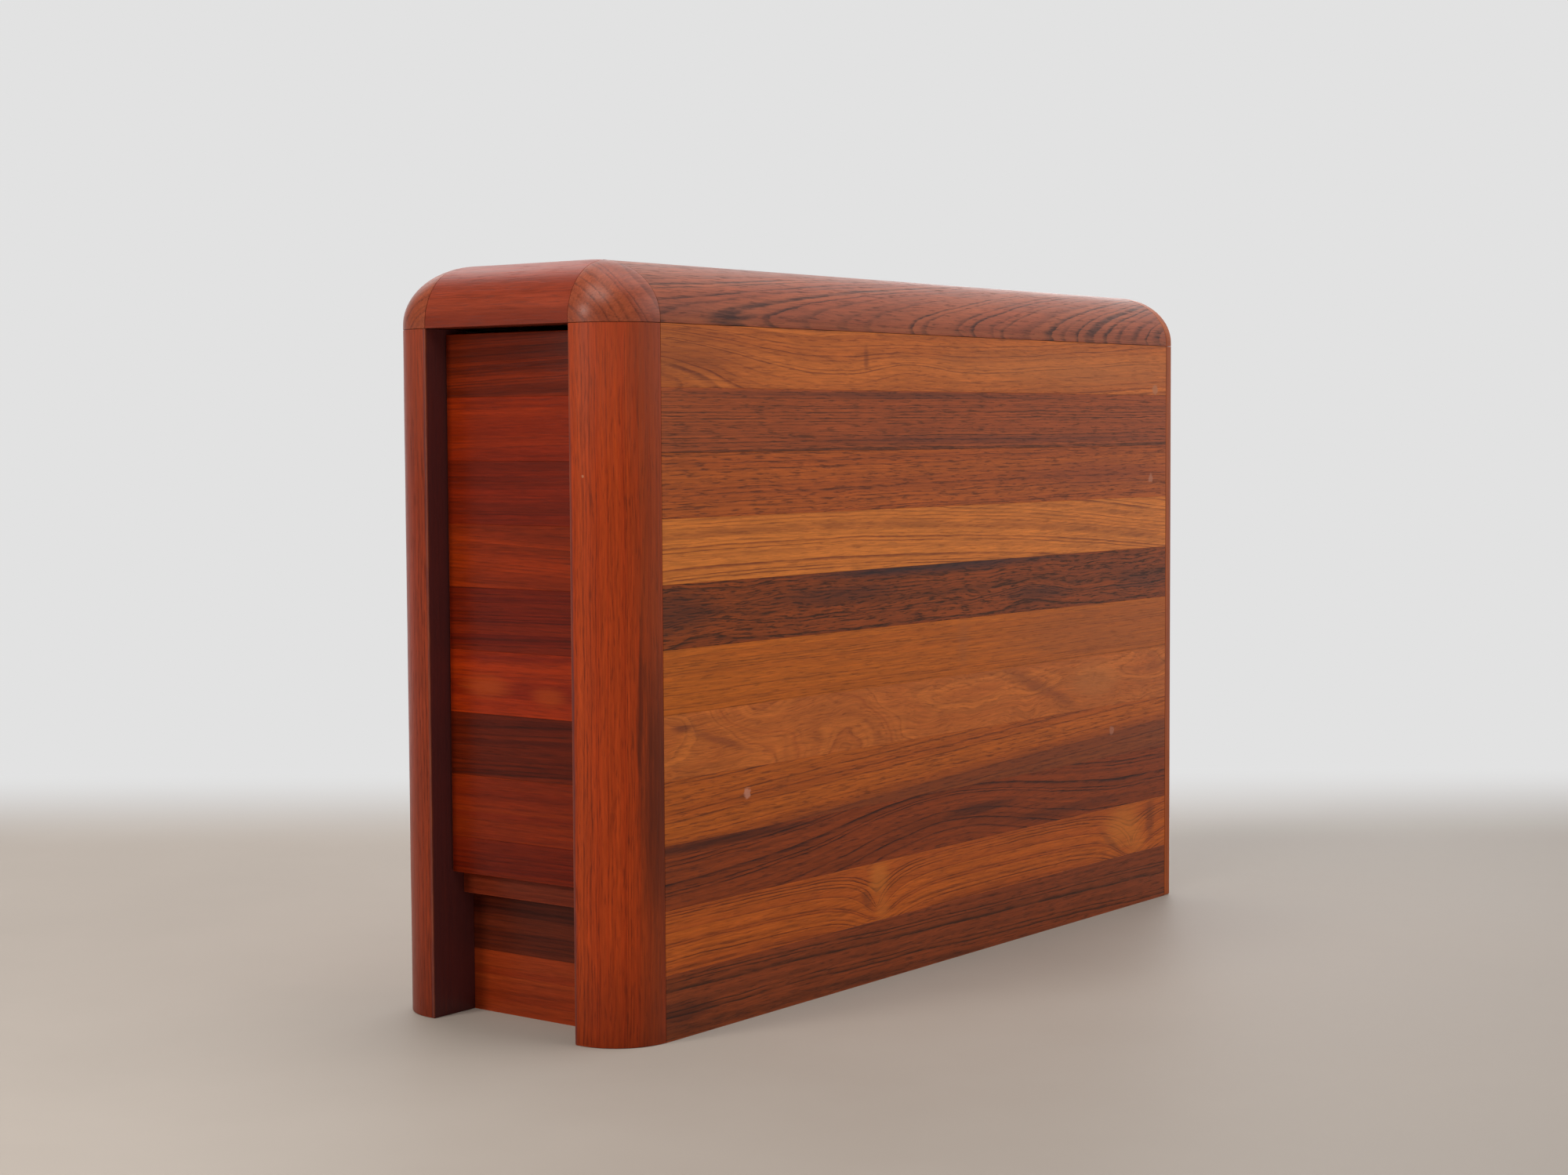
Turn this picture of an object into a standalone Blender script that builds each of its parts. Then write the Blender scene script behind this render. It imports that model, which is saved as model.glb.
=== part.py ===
"""Teak sewing table: a narrow, deep case on the floor, rounded over at the front and along its top,
with a pull-out sewing rack behind a recessed front.

Frame: metres, +Z up. The origin is on the floor under the middle of the case. The front faces -Y,
the width runs along X and the depth along Y. "left" is -X and "right" is +X, seen from the front.
"""

import math

import bmesh
import bpy
from mathutils import Matrix, Vector

# ---- driving dimensions ---------------------------------------------------------------------------
WIDTH = 0.230
DEPTH = 0.750
HEIGHT = 0.540
STAVE = 0.045                   # width of one veneer stave; eleven of them make a side
CAP = STAVE                     # height of the solid edging that crowns the case
CORNER_R = 0.042                # plan radius of the front posts, and of the front top edge
SIDE_RUN = 0.059                # how far in from the side the top edge starts to round over
RISE = 0.042                    # height of the rounded part of the top edge
FIT = 0.0003                    # gap left where two pieces touch
ARRIS = 0.0008                  # small bevel on sawn edges
PAST = 0.010                    # how far a cutter reaches past the wood that it cuts

# ---- case -----------------------------------------------------------------------------------------
HALF_W = WIDTH / 2
FRONT = -DEPTH / 2
REAR = DEPTH / 2
CAP_Z = HEIGHT - CAP            # underside of the cap
ROUND_Z = HEIGHT - RISE         # where the top edge starts to round over
POST_W = 0.047
POST_D = CORNER_R
POST_REAR = FRONT + POST_D
POST_INNER = HALF_W - POST_W    # half of the opening between the posts
SIDE_T = 0.020
SIDE_INNER = HALF_W - SIDE_T
LIPPING = 0.010                 # depth of the solid strips round the rear edge
LIPPING_FRONT = REAR - LIPPING
RAIL_INNER = 0.055              # inner edge of the rails along the top
TOP_T = 0.020
REBATE_W = 0.009
REBATE_D = 0.010
BACK_T = 0.008
BACK_FRONT = LIPPING_FRONT - REBATE_D
BACK_LOW = 0.012
FLOOR_T = 0.016                 # the case's bottom board
FLOOR_Z = 0.0875
FLOOR_TOP = FLOOR_Z + FLOOR_T
FLOOR_LIP = 0.011               # its solid front strip, which stands forward between the posts
PLINTH_T = 0.018
CLEAT = 0.020

# ---- pull-out -------------------------------------------------------------------------------------
FACE_Y = FRONT + 0.019          # the front panel is set back between the posts
FACE_T = 0.018
FACE_BACK = FACE_Y + FACE_T
FACE_HALF = POST_INNER - 0.0015
FACE_LOW = FLOOR_TOP + 0.001
FACE_HIGH = CAP_Z - 0.004
GRIP_HALF = 0.050               # finger groove under the front panel
GRIP_Y = FACE_Y + 0.004
GRIP_W = 0.0075
GRIP_H = 0.010
RACK_HALF = 0.053               # half the outer width of the rack behind the front panel
RACK_BACK = 0.300               # front face of the rack's back board
RACK_BACK_T = 0.012
RACK_LOW = FLOOR_TOP + 0.0045
RACK_HIGH = 0.478
RACK_BOTTOM_T = 0.010
BIN_T = 0.009                   # side boards of the bin at the bottom of the rack
BIN_H = 0.082
SHELF_Z = 0.262
SHELF_T = 0.010
REEL_T = 0.010                  # upright board that carries the reel pegs
REEL_H = 0.128
PEG_R = 0.003
PEG_HALF = 0.045
PEG_NOSE = 0.0012
PEGS_IN_ROW = 3
PEG_STEP = 0.170
PEG_FIRST = -0.235
PEG_ROWS = (0.306, 0.358)
GALLERY_T = 0.006               # side boards that hold the sliding tray
GALLERY_LOW = 0.395
GALLERY_HIGH = 0.470
LEDGE_W = 0.0085
LEDGE_LOW = 0.412
LEDGE_T = 0.012

# ---- sliding tray ---------------------------------------------------------------------------------
TRAY_HALF = 0.046
TRAY_FRONT = FACE_BACK + 0.004
TRAY_L = 0.300
TRAY_Z = LEDGE_LOW + LEDGE_T + 0.0005
TRAY_H = 0.038
TRAY_WALL = 0.006
TRAY_BASE = 0.004
DIVIDER_T = 0.004
DIVIDER_DROP = 0.004            # how far a divider stays below the tray's rim
DIVIDERS = (0.085, 0.160)       # distance of each divider from the tray's front

# ---- roller runners -------------------------------------------------------------------------------
STEEL = 0.0012                  # thickness of the sheet
RUNNER_IN = RACK_HALF + FIT     # the runner fills the space beside the rack
RUNNER_OUT = 0.0665
RUNNER_LOW = 0.150
RUNNER_HIGH = 0.185
CASE_RUNNER_FRONT = POST_REAR + 0.006
CASE_RUNNER_L = 0.600
CASE_LIP = RUNNER_IN + 0.0022   # how near the case's channel comes to the rack
RACK_RUNNER_L = 0.600
RACK_RUNNER_LOW = 0.157
RACK_RUNNER_TOP = RUNNER_HIGH - STEEL - 0.0011
RACK_LIP = RUNNER_OUT - 0.0027
ROLLER_R = 0.011
ROLLER_W = 0.007
ROLLER_BORE = 0.0028
ROLLER_RIM = 0.0010
ROLLER_X = (RUNNER_IN + RUNNER_OUT) / 2
CASE_WHEEL_Y = CASE_RUNNER_FRONT + 0.018
CASE_WHEEL_Z = RACK_RUNNER_TOP - STEEL - FIT - ROLLER_R     # the rack's lip rides on it
RACK_WHEEL_Y = FACE_BACK + RACK_RUNNER_L - 0.014
RACK_WHEEL_Z = RUNNER_LOW + STEEL + FIT + ROLLER_R          # it rides in the case's channel
PIN_R = 0.0025
PIN_HEAD_R = 0.0045
PIN_HEAD_T = 0.0010
BATTEN_LOW = 0.145
BATTEN_HIGH = 0.190
BATTEN_L = CASE_RUNNER_L + 0.020

# ---- screws of the back panel ---------------------------------------------------------------------
SCREW_R = 0.0016
SCREW_HEAD_R = 0.0034
SCREW_L = 0.022
SCREW_HEAD_H = 0.0025
SCREW_TIP = 0.004
SLOT_DEPTH = 0.0010
SLOT_HALF = 0.0004
SCREW_Z = (("lower", 0.060), ("upper", 0.440))
SCREW_X = SIDE_INNER + REBATE_W / 2

SIDES = (("left", -1), ("right", 1))
ROUND_STEPS = 10                # facets in a quarter of a rounded edge
TURNED_STEPS = 24               # facets round a small turned piece

TEAK = (0.30, 0.085, 0.030)
TEAK_GOLD = (0.40, 0.150, 0.055)
BEECH = (0.62, 0.42, 0.24)
PLYWOOD = (0.58, 0.41, 0.25)
ZINC = (0.62, 0.62, 0.60)
NYLON = (0.85, 0.83, 0.78)
BRASS = (0.70, 0.52, 0.22)


# ---- materials and objects ------------------------------------------------------------------------
def material(name, colour, roughness, metallic=0.0):
    """A Principled material, made once."""
    found = bpy.data.materials.get(name)
    if found:
        return found
    made = bpy.data.materials.new(name)
    made.use_nodes = True
    shader = made.node_tree.nodes["Principled BSDF"]
    shader.inputs["Base Color"].default_value = (*colour, 1.0)
    shader.inputs["Roughness"].default_value = roughness
    shader.inputs["Metallic"].default_value = metallic
    return made


def teak():
    return material("teak", TEAK, 0.45)


def teak_veneer():
    return material("teak_veneer", TEAK_GOLD, 0.45)


def beech():
    return material("beech", BEECH, 0.55)


def plywood():
    return material("plywood", PLYWOOD, 0.60)


def zinc():
    return material("zinc_plated_steel", ZINC, 0.35, 1.0)


def nylon():
    return material("nylon", NYLON, 0.50)


def brass():
    return material("brass", BRASS, 0.30, 1.0)


def stand(obj, place, parent=None):
    """Puts an object at a place in the row frame, under its parent."""
    bpy.context.scene.collection.objects.link(obj)
    obj.location = place
    obj.parent = parent
    while parent:
        obj.location -= parent.location
        parent = parent.parent
    return obj


def empty(name, place, parent=None):
    """The parent of a moving body's pieces, on the body's joint."""
    return stand(bpy.data.objects.new(name, None), place, parent)


def put(name, bm, place, finish, parent=None):
    """Turns a bmesh drawn about its own origin into a named object at a place in the row frame."""
    bmesh.ops.recalc_face_normals(bm, faces=bm.faces)
    mesh = bpy.data.meshes.new(name)
    bm.to_mesh(mesh)
    bm.free()
    mesh.materials.append(finish)
    return stand(bpy.data.objects.new(name, mesh), place, parent)


def ease(obj, width=ARRIS, segments=1):
    """Breaks an object's sharp edges with a small bevel."""
    bevel = obj.modifiers.new("ease", "BEVEL")
    bevel.width = width
    bevel.segments = segments
    bevel.limit_method = "ANGLE"
    bevel.angle_limit = math.radians(40)
    return obj


def smooth(obj, degrees=35):
    obj.data.shade_smooth()
    obj.data.set_sharp_from_angle(angle=math.radians(degrees))
    return obj


def boolean(obj, cutter, operation):
    """Applies a Boolean to an object's mesh and removes the cutter."""
    step = obj.modifiers.new("cut", "BOOLEAN")
    step.operation = operation
    step.solver = "EXACT"
    step.object = cutter
    bpy.context.view_layer.update()
    graph = bpy.context.evaluated_depsgraph_get()
    cut = bpy.data.meshes.new_from_object(obj.evaluated_get(graph))
    obj.modifiers.remove(step)
    obj.data = cut
    bpy.data.objects.remove(cutter)
    return obj


# ---- shapes ---------------------------------------------------------------------------------------
def box_mesh(size):
    bm = bmesh.new()
    bmesh.ops.create_cube(bm, size=1.0)
    bmesh.ops.scale(bm, vec=size, verts=bm.verts)
    return bm


def box(name, low, high, finish, parent=None):
    """A plain block from its lowest to its highest corner."""
    low, high = Vector(low), Vector(high)
    return put(name, box_mesh(high - low), (low + high) / 2, finish, parent)


def board(name, low, high, finish, parent=None):
    """A block with eased edges."""
    return ease(box(name, low, high, finish, parent))


def mirrored(side, inner, outer):
    """The x range of a piece that lies from inner to outer on one side of the middle."""
    return (inner, outer) if side > 0 else (-outer, -inner)


def prism(name, outline, low, high, axis, finish, parent=None):
    """An outline swept along Z (outline in X, Y) or along Y (outline in X, Z)."""
    bm = bmesh.new()
    if axis == "Z":
        corners = [bm.verts.new((x, y, low)) for x, y in outline]
        sweep = (0, 0, high - low)
    else:
        corners = [bm.verts.new((x, low, z)) for x, z in outline]
        sweep = (0, high - low, 0)
    face = bm.faces.new(corners)
    swept = bmesh.ops.extrude_face_region(bm, geom=[face])
    moved = [v for v in swept["geom"] if isinstance(v, bmesh.types.BMVert)]
    bmesh.ops.translate(bm, vec=sweep, verts=moved)
    return put(name, bm, (0, 0, 0), finish, parent)


def turned(profile):
    """A closed profile of (radius, height) points spun about the X axis. Height runs along X."""
    bm = bmesh.new()
    ring = [bm.verts.new((height, 0, radius)) for radius, height in profile]
    edges = [bm.edges.new(pair) for pair in zip(ring, ring[1:] + ring[:1])]
    bmesh.ops.spin(
        bm, geom=ring + edges, cent=(0, 0, 0), axis=(1, 0, 0),
        angle=math.tau, steps=TURNED_STEPS, use_merge=True,
    )
    bmesh.ops.remove_doubles(bm, verts=bm.verts, dist=1e-6)
    loose = [e for e in bm.edges if not e.link_faces]
    bmesh.ops.delete(bm, geom=loose, context="EDGES")
    return bm


def facing(bm, degrees):
    """Turns a shape drawn along the X axis about Z."""
    bmesh.ops.rotate(bm, matrix=Matrix.Rotation(math.radians(degrees), 3, "Z"), verts=bm.verts)
    return bm


def rod_cutter(radius, start, end):
    """A round cutter between two points that differ in x alone, or in y alone."""
    start, end = Vector(start), Vector(end)
    half = (end - start).length / 2
    bm = turned([(0, -half), (radius, -half), (radius, half), (0, half)])
    if abs(end.y - start.y) > abs(end.x - start.x):
        facing(bm, 90)
    return put("cutter", bm, (start + end) / 2, teak())


def box_cutter(low, high):
    return box("cutter", low, high, teak())


# ---- case -----------------------------------------------------------------------------------------
def cap_outline(height):
    """Points round the cap at a height above the cap's underside, anticlockwise from the rear right."""
    up = max(0.0, height - (ROUND_Z - CAP_Z)) / RISE
    share = math.sqrt(max(0.0, 1 - up * up))
    half = HALF_W - SIDE_RUN * (1 - share)
    front = FRONT + CORNER_R * (1 - share)
    radius = CORNER_R * share
    left, right = [], []
    for i in range(ROUND_STEPS + 1):
        turn = math.pi / 2 * i / ROUND_STEPS
        x = half - radius * (1 - math.sin(turn))
        y = front + radius * (1 - math.cos(turn))
        right.append((x, y))
        left.append((-x, y))
    return [(half, REAR), (-half, REAR)] + left[::-1] + right


def cap_solid(name, finish):
    """The whole rounded cap in one block. Each piece of it is cut from a copy."""
    heights = [0.0, ROUND_Z - CAP_Z]
    heights += [
        ROUND_Z - CAP_Z + RISE * math.sin(math.pi / 2 * i / ROUND_STEPS)
        for i in range(1, ROUND_STEPS + 1)
    ]
    bm = bmesh.new()
    rings = [
        [bm.verts.new((x, y, CAP_Z + height)) for x, y in cap_outline(height)]
        for height in heights
    ]
    for lower, upper in zip(rings, rings[1:]):
        for i, corner in enumerate(lower):
            j = (i + 1) % len(lower)
            bm.faces.new((corner, lower[j], upper[j], upper[i]))
    bm.faces.new(rings[0])
    bm.faces.new(rings[-1])
    bmesh.ops.remove_doubles(bm, verts=bm.verts, dist=1e-6)
    bmesh.ops.dissolve_degenerate(bm, edges=bm.edges, dist=1e-6)
    return put(name, bm, (0, 0, 0), finish)


def cap_piece(name, x_range, y_range, finish):
    """The part of the cap between two x and two y planes."""
    piece = cap_solid(name, finish)
    low = (x_range[0], y_range[0], CAP_Z - PAST)
    high = (x_range[1], y_range[1], HEIGHT + PAST)
    return smooth(boolean(piece, box_cutter(low, high), "INTERSECT"))


def add_cap():
    """The solid edging round the top, with the veneered panel inside it."""
    beyond = HALF_W + PAST
    front_range = (FRONT - PAST, POST_REAR - FIT)
    for word, side in SIDES:
        x_range = mirrored(side, POST_INNER + FIT, beyond)
        cap_piece(f"corner_block_{word}", x_range, front_range, teak())
        x_range = mirrored(side, RAIL_INNER + FIT, beyond)
        cap_piece(f"top_side_rail_{word}", x_range, (POST_REAR, LIPPING_FRONT - FIT), teak())
    cap_piece("top_front_rail", (-POST_INNER, POST_INNER), front_range, teak())
    cap_piece("rear_lipping_top", (-beyond, beyond), (LIPPING_FRONT, REAR + PAST), teak())
    board(
        "top_panel",
        (-RAIL_INNER, POST_REAR, HEIGHT - TOP_T),
        (RAIL_INNER, LIPPING_FRONT - FIT, HEIGHT),
        teak_veneer(),
    )


def post_outline(side):
    """Plan of a front post: square inside, rounded on its outer front corner."""
    outline = [(POST_INNER, POST_REAR - FIT), (POST_INNER, FRONT)]
    for i in range(ROUND_STEPS + 1):
        turn = math.pi / 2 * i / ROUND_STEPS
        x = HALF_W - CORNER_R * (1 - math.sin(turn))
        y = FRONT + CORNER_R * (1 - math.cos(turn))
        outline.append((x, min(y, POST_REAR - FIT)))
    return [(side * x, y) for x, y in outline]


def side_outline(side):
    """Plan of a side panel, with the rebate for the back panel in its inner rear corner."""
    outline = [
        (SIDE_INNER, POST_REAR),
        (HALF_W, POST_REAR),
        (HALF_W, LIPPING_FRONT - FIT),
        (SIDE_INNER + REBATE_W, LIPPING_FRONT - FIT),
        (SIDE_INNER + REBATE_W, BACK_FRONT),
        (SIDE_INNER, BACK_FRONT),
    ]
    return [(side * x, y) for x, y in outline]


def add_sides():
    for word, side in SIDES:
        post = prism(f"front_post_{word}", post_outline(side), 0, CAP_Z - FIT, "Z", teak())
        smooth(post)
        panel = prism(f"side_panel_{word}", side_outline(side), 0, CAP_Z - FIT, "Z", teak_veneer())
        for _, height in SCREW_Z:
            x = side * SCREW_X
            start = (x, BACK_FRONT + BACK_T - SCREW_L - FIT, height)
            boolean(panel, rod_cutter(SCREW_R + FIT, start, (x, REAR, height)), "DIFFERENCE")
        x_range = mirrored(side, SIDE_INNER + REBATE_W, HALF_W)
        board(
            f"rear_lipping_{word}",
            (x_range[0], LIPPING_FRONT, 0),
            (x_range[1], REAR, CAP_Z - FIT),
            teak(),
        )


def add_bottom():
    inner = SIDE_INNER - FIT
    board(
        "bottom_board",
        (-inner, POST_REAR, FLOOR_Z), (inner, BACK_FRONT - FIT, FLOOR_TOP), plywood(),
    )
    board(
        "bottom_board_lipping",
        (-POST_INNER + FIT, POST_REAR - FLOOR_LIP, FLOOR_Z),
        (POST_INNER - FIT, POST_REAR - FIT, FLOOR_TOP),
        teak(),
    )
    board(
        "plinth_board",
        (-inner, POST_REAR, 0), (inner, POST_REAR + PLINTH_T, FLOOR_Z - FIT), teak_veneer(),
    )


def add_back():
    """The back panel in its rebates, the cleat behind its top edge and four screws."""
    half = SIDE_INNER + REBATE_W - FIT
    back = box(
        "back_panel",
        (-half, BACK_FRONT + FIT, BACK_LOW),
        (half, BACK_FRONT + FIT + BACK_T, CAP_Z - FIT),
        plywood(),
    )
    inner = SIDE_INNER - FIT
    board(
        "back_cleat",
        (-inner, BACK_FRONT - CLEAT, CAP_Z - FIT - CLEAT), (inner, BACK_FRONT, CAP_Z - FIT), beech(),
    )
    for word, side in SIDES:
        for level, height in SCREW_Z:
            place = (side * SCREW_X, BACK_FRONT + FIT + BACK_T, height)
            sink = put("cutter", facing(screw_shape(FIT, PAST), 90), place, teak())
            boolean(back, sink, "DIFFERENCE")
            add_screw(f"back_screw_{level}_{word}", place)


def screw_shape(room=0.0, above=0.0):
    """A countersunk screw along -X with its head at the origin, or the room that it needs."""
    head = SCREW_HEAD_R + room
    shank = SCREW_R + room
    tip = -SCREW_L - room
    profile = [(0, tip), (shank, tip + SCREW_TIP), (shank, -SCREW_HEAD_H - room), (head, 0)]
    if above:
        profile.append((head, above))
    return turned(profile + [(0, above)])


def add_screw(name, place):
    """A slotted brass screw that faces +Y."""
    x, y, z = place
    screw = put(name, facing(screw_shape(), 90), place, brass())
    slot = box_cutter(
        (x - SCREW_HEAD_R - FIT, y - SLOT_DEPTH, z - SLOT_HALF),
        (x + SCREW_HEAD_R + FIT, y + SLOT_DEPTH, z + SLOT_HALF),
    )
    smooth(boolean(screw, slot, "DIFFERENCE"))


# ---- runners --------------------------------------------------------------------------------------
def runner(name, side, outline, front, length, wheel, parent=None):
    """A folded steel runner with a hole for its roller's pin."""
    steel = prism(name, [(side * x, z) for x, z in outline], front, front + length, "Y", zinc(), parent)
    y, z = wheel
    hole = rod_cutter(PIN_R + FIT, (side * (RUNNER_IN - PAST), y, z), (side * (RUNNER_OUT + PAST), y, z))
    boolean(steel, hole, "DIFFERENCE")


def add_case_runners():
    """On each side a batten, a steel channel on it and, at the channel's front, a roller on a pin."""
    web = RUNNER_OUT - STEEL
    channel = [
        (RUNNER_OUT, RUNNER_LOW), (RUNNER_OUT, RUNNER_HIGH),
        (CASE_LIP, RUNNER_HIGH), (CASE_LIP, RUNNER_HIGH - STEEL), (web, RUNNER_HIGH - STEEL),
        (web, RUNNER_LOW + STEEL), (CASE_LIP, RUNNER_LOW + STEEL), (CASE_LIP, RUNNER_LOW),
    ]
    wheel = (CASE_WHEEL_Y, CASE_WHEEL_Z)
    for word, side in SIDES:
        x_range = mirrored(side, RUNNER_OUT + FIT, SIDE_INNER - FIT)
        board(
            f"runner_batten_{word}",
            (x_range[0], CASE_RUNNER_FRONT, BATTEN_LOW),
            (x_range[1], CASE_RUNNER_FRONT + BATTEN_L, BATTEN_HIGH),
            beech(),
        )
        runner(f"case_runner_{word}", side, channel, CASE_RUNNER_FRONT, CASE_RUNNER_L, wheel)
        add_roller(f"case_roller_{word}", side, wheel)
        add_pin(f"case_roller_pin_{word}", side, -1, RUNNER_OUT - FIT, wheel)


def add_rack_runners(rack):
    """On each side of the rack a steel angle that rides on the case's roller, and a roller at its rear."""
    web = RUNNER_IN + STEEL
    lip = RACK_RUNNER_TOP - STEEL
    angle = [
        (RUNNER_IN, RACK_RUNNER_LOW), (RUNNER_IN, RACK_RUNNER_TOP), (RACK_LIP, RACK_RUNNER_TOP),
        (RACK_LIP, lip), (web, lip), (web, RACK_RUNNER_LOW),
    ]
    wheel = (RACK_WHEEL_Y, RACK_WHEEL_Z)
    for word, side in SIDES:
        runner(f"rack_runner_{word}", side, angle, FACE_BACK + FIT, RACK_RUNNER_L, wheel, rack)
        add_roller(f"rack_roller_{word}", side, wheel, rack)
        add_pin(f"rack_roller_pin_{word}", side, 1, RUNNER_IN + FIT, wheel, rack)


def add_roller(name, side, wheel, parent=None):
    """A nylon wheel with eased rims, on an empty on its axis."""
    half = ROLLER_W / 2
    shoulder = ROLLER_R - ROLLER_RIM
    profile = [
        (ROLLER_BORE, -half), (shoulder, -half), (ROLLER_R, -half + ROLLER_RIM),
        (ROLLER_R, half - ROLLER_RIM), (shoulder, half), (ROLLER_BORE, half),
    ]
    place = (side * ROLLER_X, *wheel)
    axle = empty(f"{name}_axis", place, parent)
    smooth(put(name, turned(profile), place, nylon(), axle))


def add_pin(name, side, outward, root_x, wheel, parent=None):
    """A rivet from a runner's web at root_x, through the wheel, with its head on the far side."""
    shaft = abs(ROLLER_X - root_x) + ROLLER_W / 2 + FIT
    tip = shaft + PIN_HEAD_T
    profile = [(0, 0), (PIN_R, 0), (PIN_R, shaft), (PIN_HEAD_R, shaft), (PIN_HEAD_R, tip), (0, tip)]
    rivet = facing(turned(profile), 0 if side == outward else 180)
    smooth(put(name, rivet, (side * root_x, *wheel), zinc(), parent))


# ---- pull-out rack --------------------------------------------------------------------------------
def add_front_panel(rack):
    """The recessed front, with a finger groove in its underside."""
    panel = box(
        "front_panel",
        (-FACE_HALF, FACE_Y, FACE_LOW), (FACE_HALF, FACE_BACK, FACE_HIGH), teak_veneer(), rack,
    )
    groove = box_cutter(
        (-GRIP_HALF, GRIP_Y, FACE_LOW - PAST), (GRIP_HALF, GRIP_Y + GRIP_W, FACE_LOW + GRIP_H),
    )
    ease(boolean(panel, groove, "DIFFERENCE"))


def add_rack(rack):
    """Bin, shelf and back board of the rack behind the front panel."""
    front = FACE_BACK + FIT
    rear = RACK_BACK - FIT
    bin_low = RACK_LOW + RACK_BOTTOM_T + FIT
    board(
        "rack_bottom",
        (-RACK_HALF, front, RACK_LOW), (RACK_HALF, rear, RACK_LOW + RACK_BOTTOM_T), plywood(), rack,
    )
    board(
        "rack_back",
        (-RACK_HALF, RACK_BACK, RACK_LOW), (RACK_HALF, RACK_BACK + RACK_BACK_T, RACK_HIGH), teak(), rack,
    )
    board(
        "rack_shelf",
        (-RACK_HALF, front, SHELF_Z), (RACK_HALF, rear, SHELF_Z + SHELF_T), plywood(), rack,
    )
    for word, side in SIDES:
        x_range = mirrored(side, RACK_HALF - BIN_T, RACK_HALF)
        board(
            f"bin_side_{word}",
            (x_range[0], front, bin_low), (x_range[1], rear, bin_low + BIN_H), teak(), rack,
        )
        x_range = mirrored(side, RACK_HALF - GALLERY_T, RACK_HALF)
        board(
            f"gallery_side_{word}",
            (x_range[0], front, GALLERY_LOW), (x_range[1], rear, GALLERY_HIGH), teak(), rack,
        )
        inner = RACK_HALF - GALLERY_T - FIT
        x_range = mirrored(side, inner - LEDGE_W, inner)
        board(
            f"tray_ledge_{word}",
            (x_range[0], front, LEDGE_LOW), (x_range[1], rear, LEDGE_LOW + LEDGE_T), beech(), rack,
        )


def add_reel_board(rack):
    """The upright board on the shelf, with pegs for thread reels standing out on both sides."""
    low = SHELF_Z + SHELF_T + FIT
    reel_board = box(
        "reel_board",
        (-REEL_T / 2, FACE_BACK + FIT, low), (REEL_T / 2, RACK_BACK - FIT, low + REEL_H), beech(), rack,
    )
    round_end = PEG_HALF - PEG_NOSE
    profile = [
        (0, -PEG_HALF), (PEG_R - PEG_NOSE, -PEG_HALF), (PEG_R, -round_end),
        (PEG_R, round_end), (PEG_R - PEG_NOSE, PEG_HALF), (0, PEG_HALF),
    ]
    places = [
        (0, PEG_FIRST + (step + row / 2) * PEG_STEP, height)
        for row, height in enumerate(PEG_ROWS)
        for step in range(PEGS_IN_ROW)
    ]
    for number, (x, y, z) in enumerate(places, 1):
        boolean(reel_board, rod_cutter(PEG_R + FIT, (-REEL_T, y, z), (REEL_T, y, z)), "DIFFERENCE")
        smooth(put(f"reel_peg_{number}", turned(profile), (x, y, z), beech(), rack))
    ease(reel_board)


def add_tray(tray):
    """A shallow tray that slides to and fro on the ledges, with two dividers."""
    rear = TRAY_FRONT + TRAY_L
    wall_low = TRAY_Z + TRAY_BASE + FIT
    top = TRAY_Z + TRAY_H
    inner = TRAY_HALF - TRAY_WALL
    board(
        "tray_base",
        (-TRAY_HALF, TRAY_FRONT, TRAY_Z), (TRAY_HALF, rear, TRAY_Z + TRAY_BASE), plywood(), tray,
    )
    ends = (("front", TRAY_FRONT), ("back", rear - TRAY_WALL))
    for word, y in ends:
        board(
            f"tray_{word}",
            (-TRAY_HALF, y, wall_low), (TRAY_HALF, y + TRAY_WALL, top), teak(), tray,
        )
    for word, side in SIDES:
        x_range = mirrored(side, inner, TRAY_HALF)
        board(
            f"tray_side_{word}",
            (x_range[0], TRAY_FRONT + TRAY_WALL + FIT, wall_low),
            (x_range[1], rear - TRAY_WALL - FIT, top),
            teak(), tray,
        )
    for number, distance in enumerate(DIVIDERS, 1):
        y = TRAY_FRONT + distance
        board(
            f"tray_divider_{number}",
            (-inner + FIT, y, wall_low), (inner - FIT, y + DIVIDER_T, top - DIVIDER_DROP), teak(), tray,
        )


def main():
    for obj in list(bpy.data.objects):
        bpy.data.objects.remove(obj)
    rack = empty("rack_slide", (0, FACE_Y, FACE_LOW))
    tray = empty("tray_slide", (0, TRAY_FRONT, TRAY_Z), rack)
    add_cap()
    add_sides()
    add_bottom()
    add_back()
    add_case_runners()
    add_front_panel(rack)
    add_rack(rack)
    add_reel_board(rack)
    add_rack_runners(rack)
    add_tray(tray)


main()
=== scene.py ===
"""The looks of the teak sewing table: its staves, its rounded solid edging and the rack inside.

Lengths are in metres in the row frame: +Z up, the front faces -Y, right is +X. Every size comes from
the frame's own boxes or from the few dimensions named below.
"""

from math import copysign, cos, dist, pi, radians, sin, sqrt

import bmesh
import bpy
from mathutils import Matrix, Vector, noise


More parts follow.
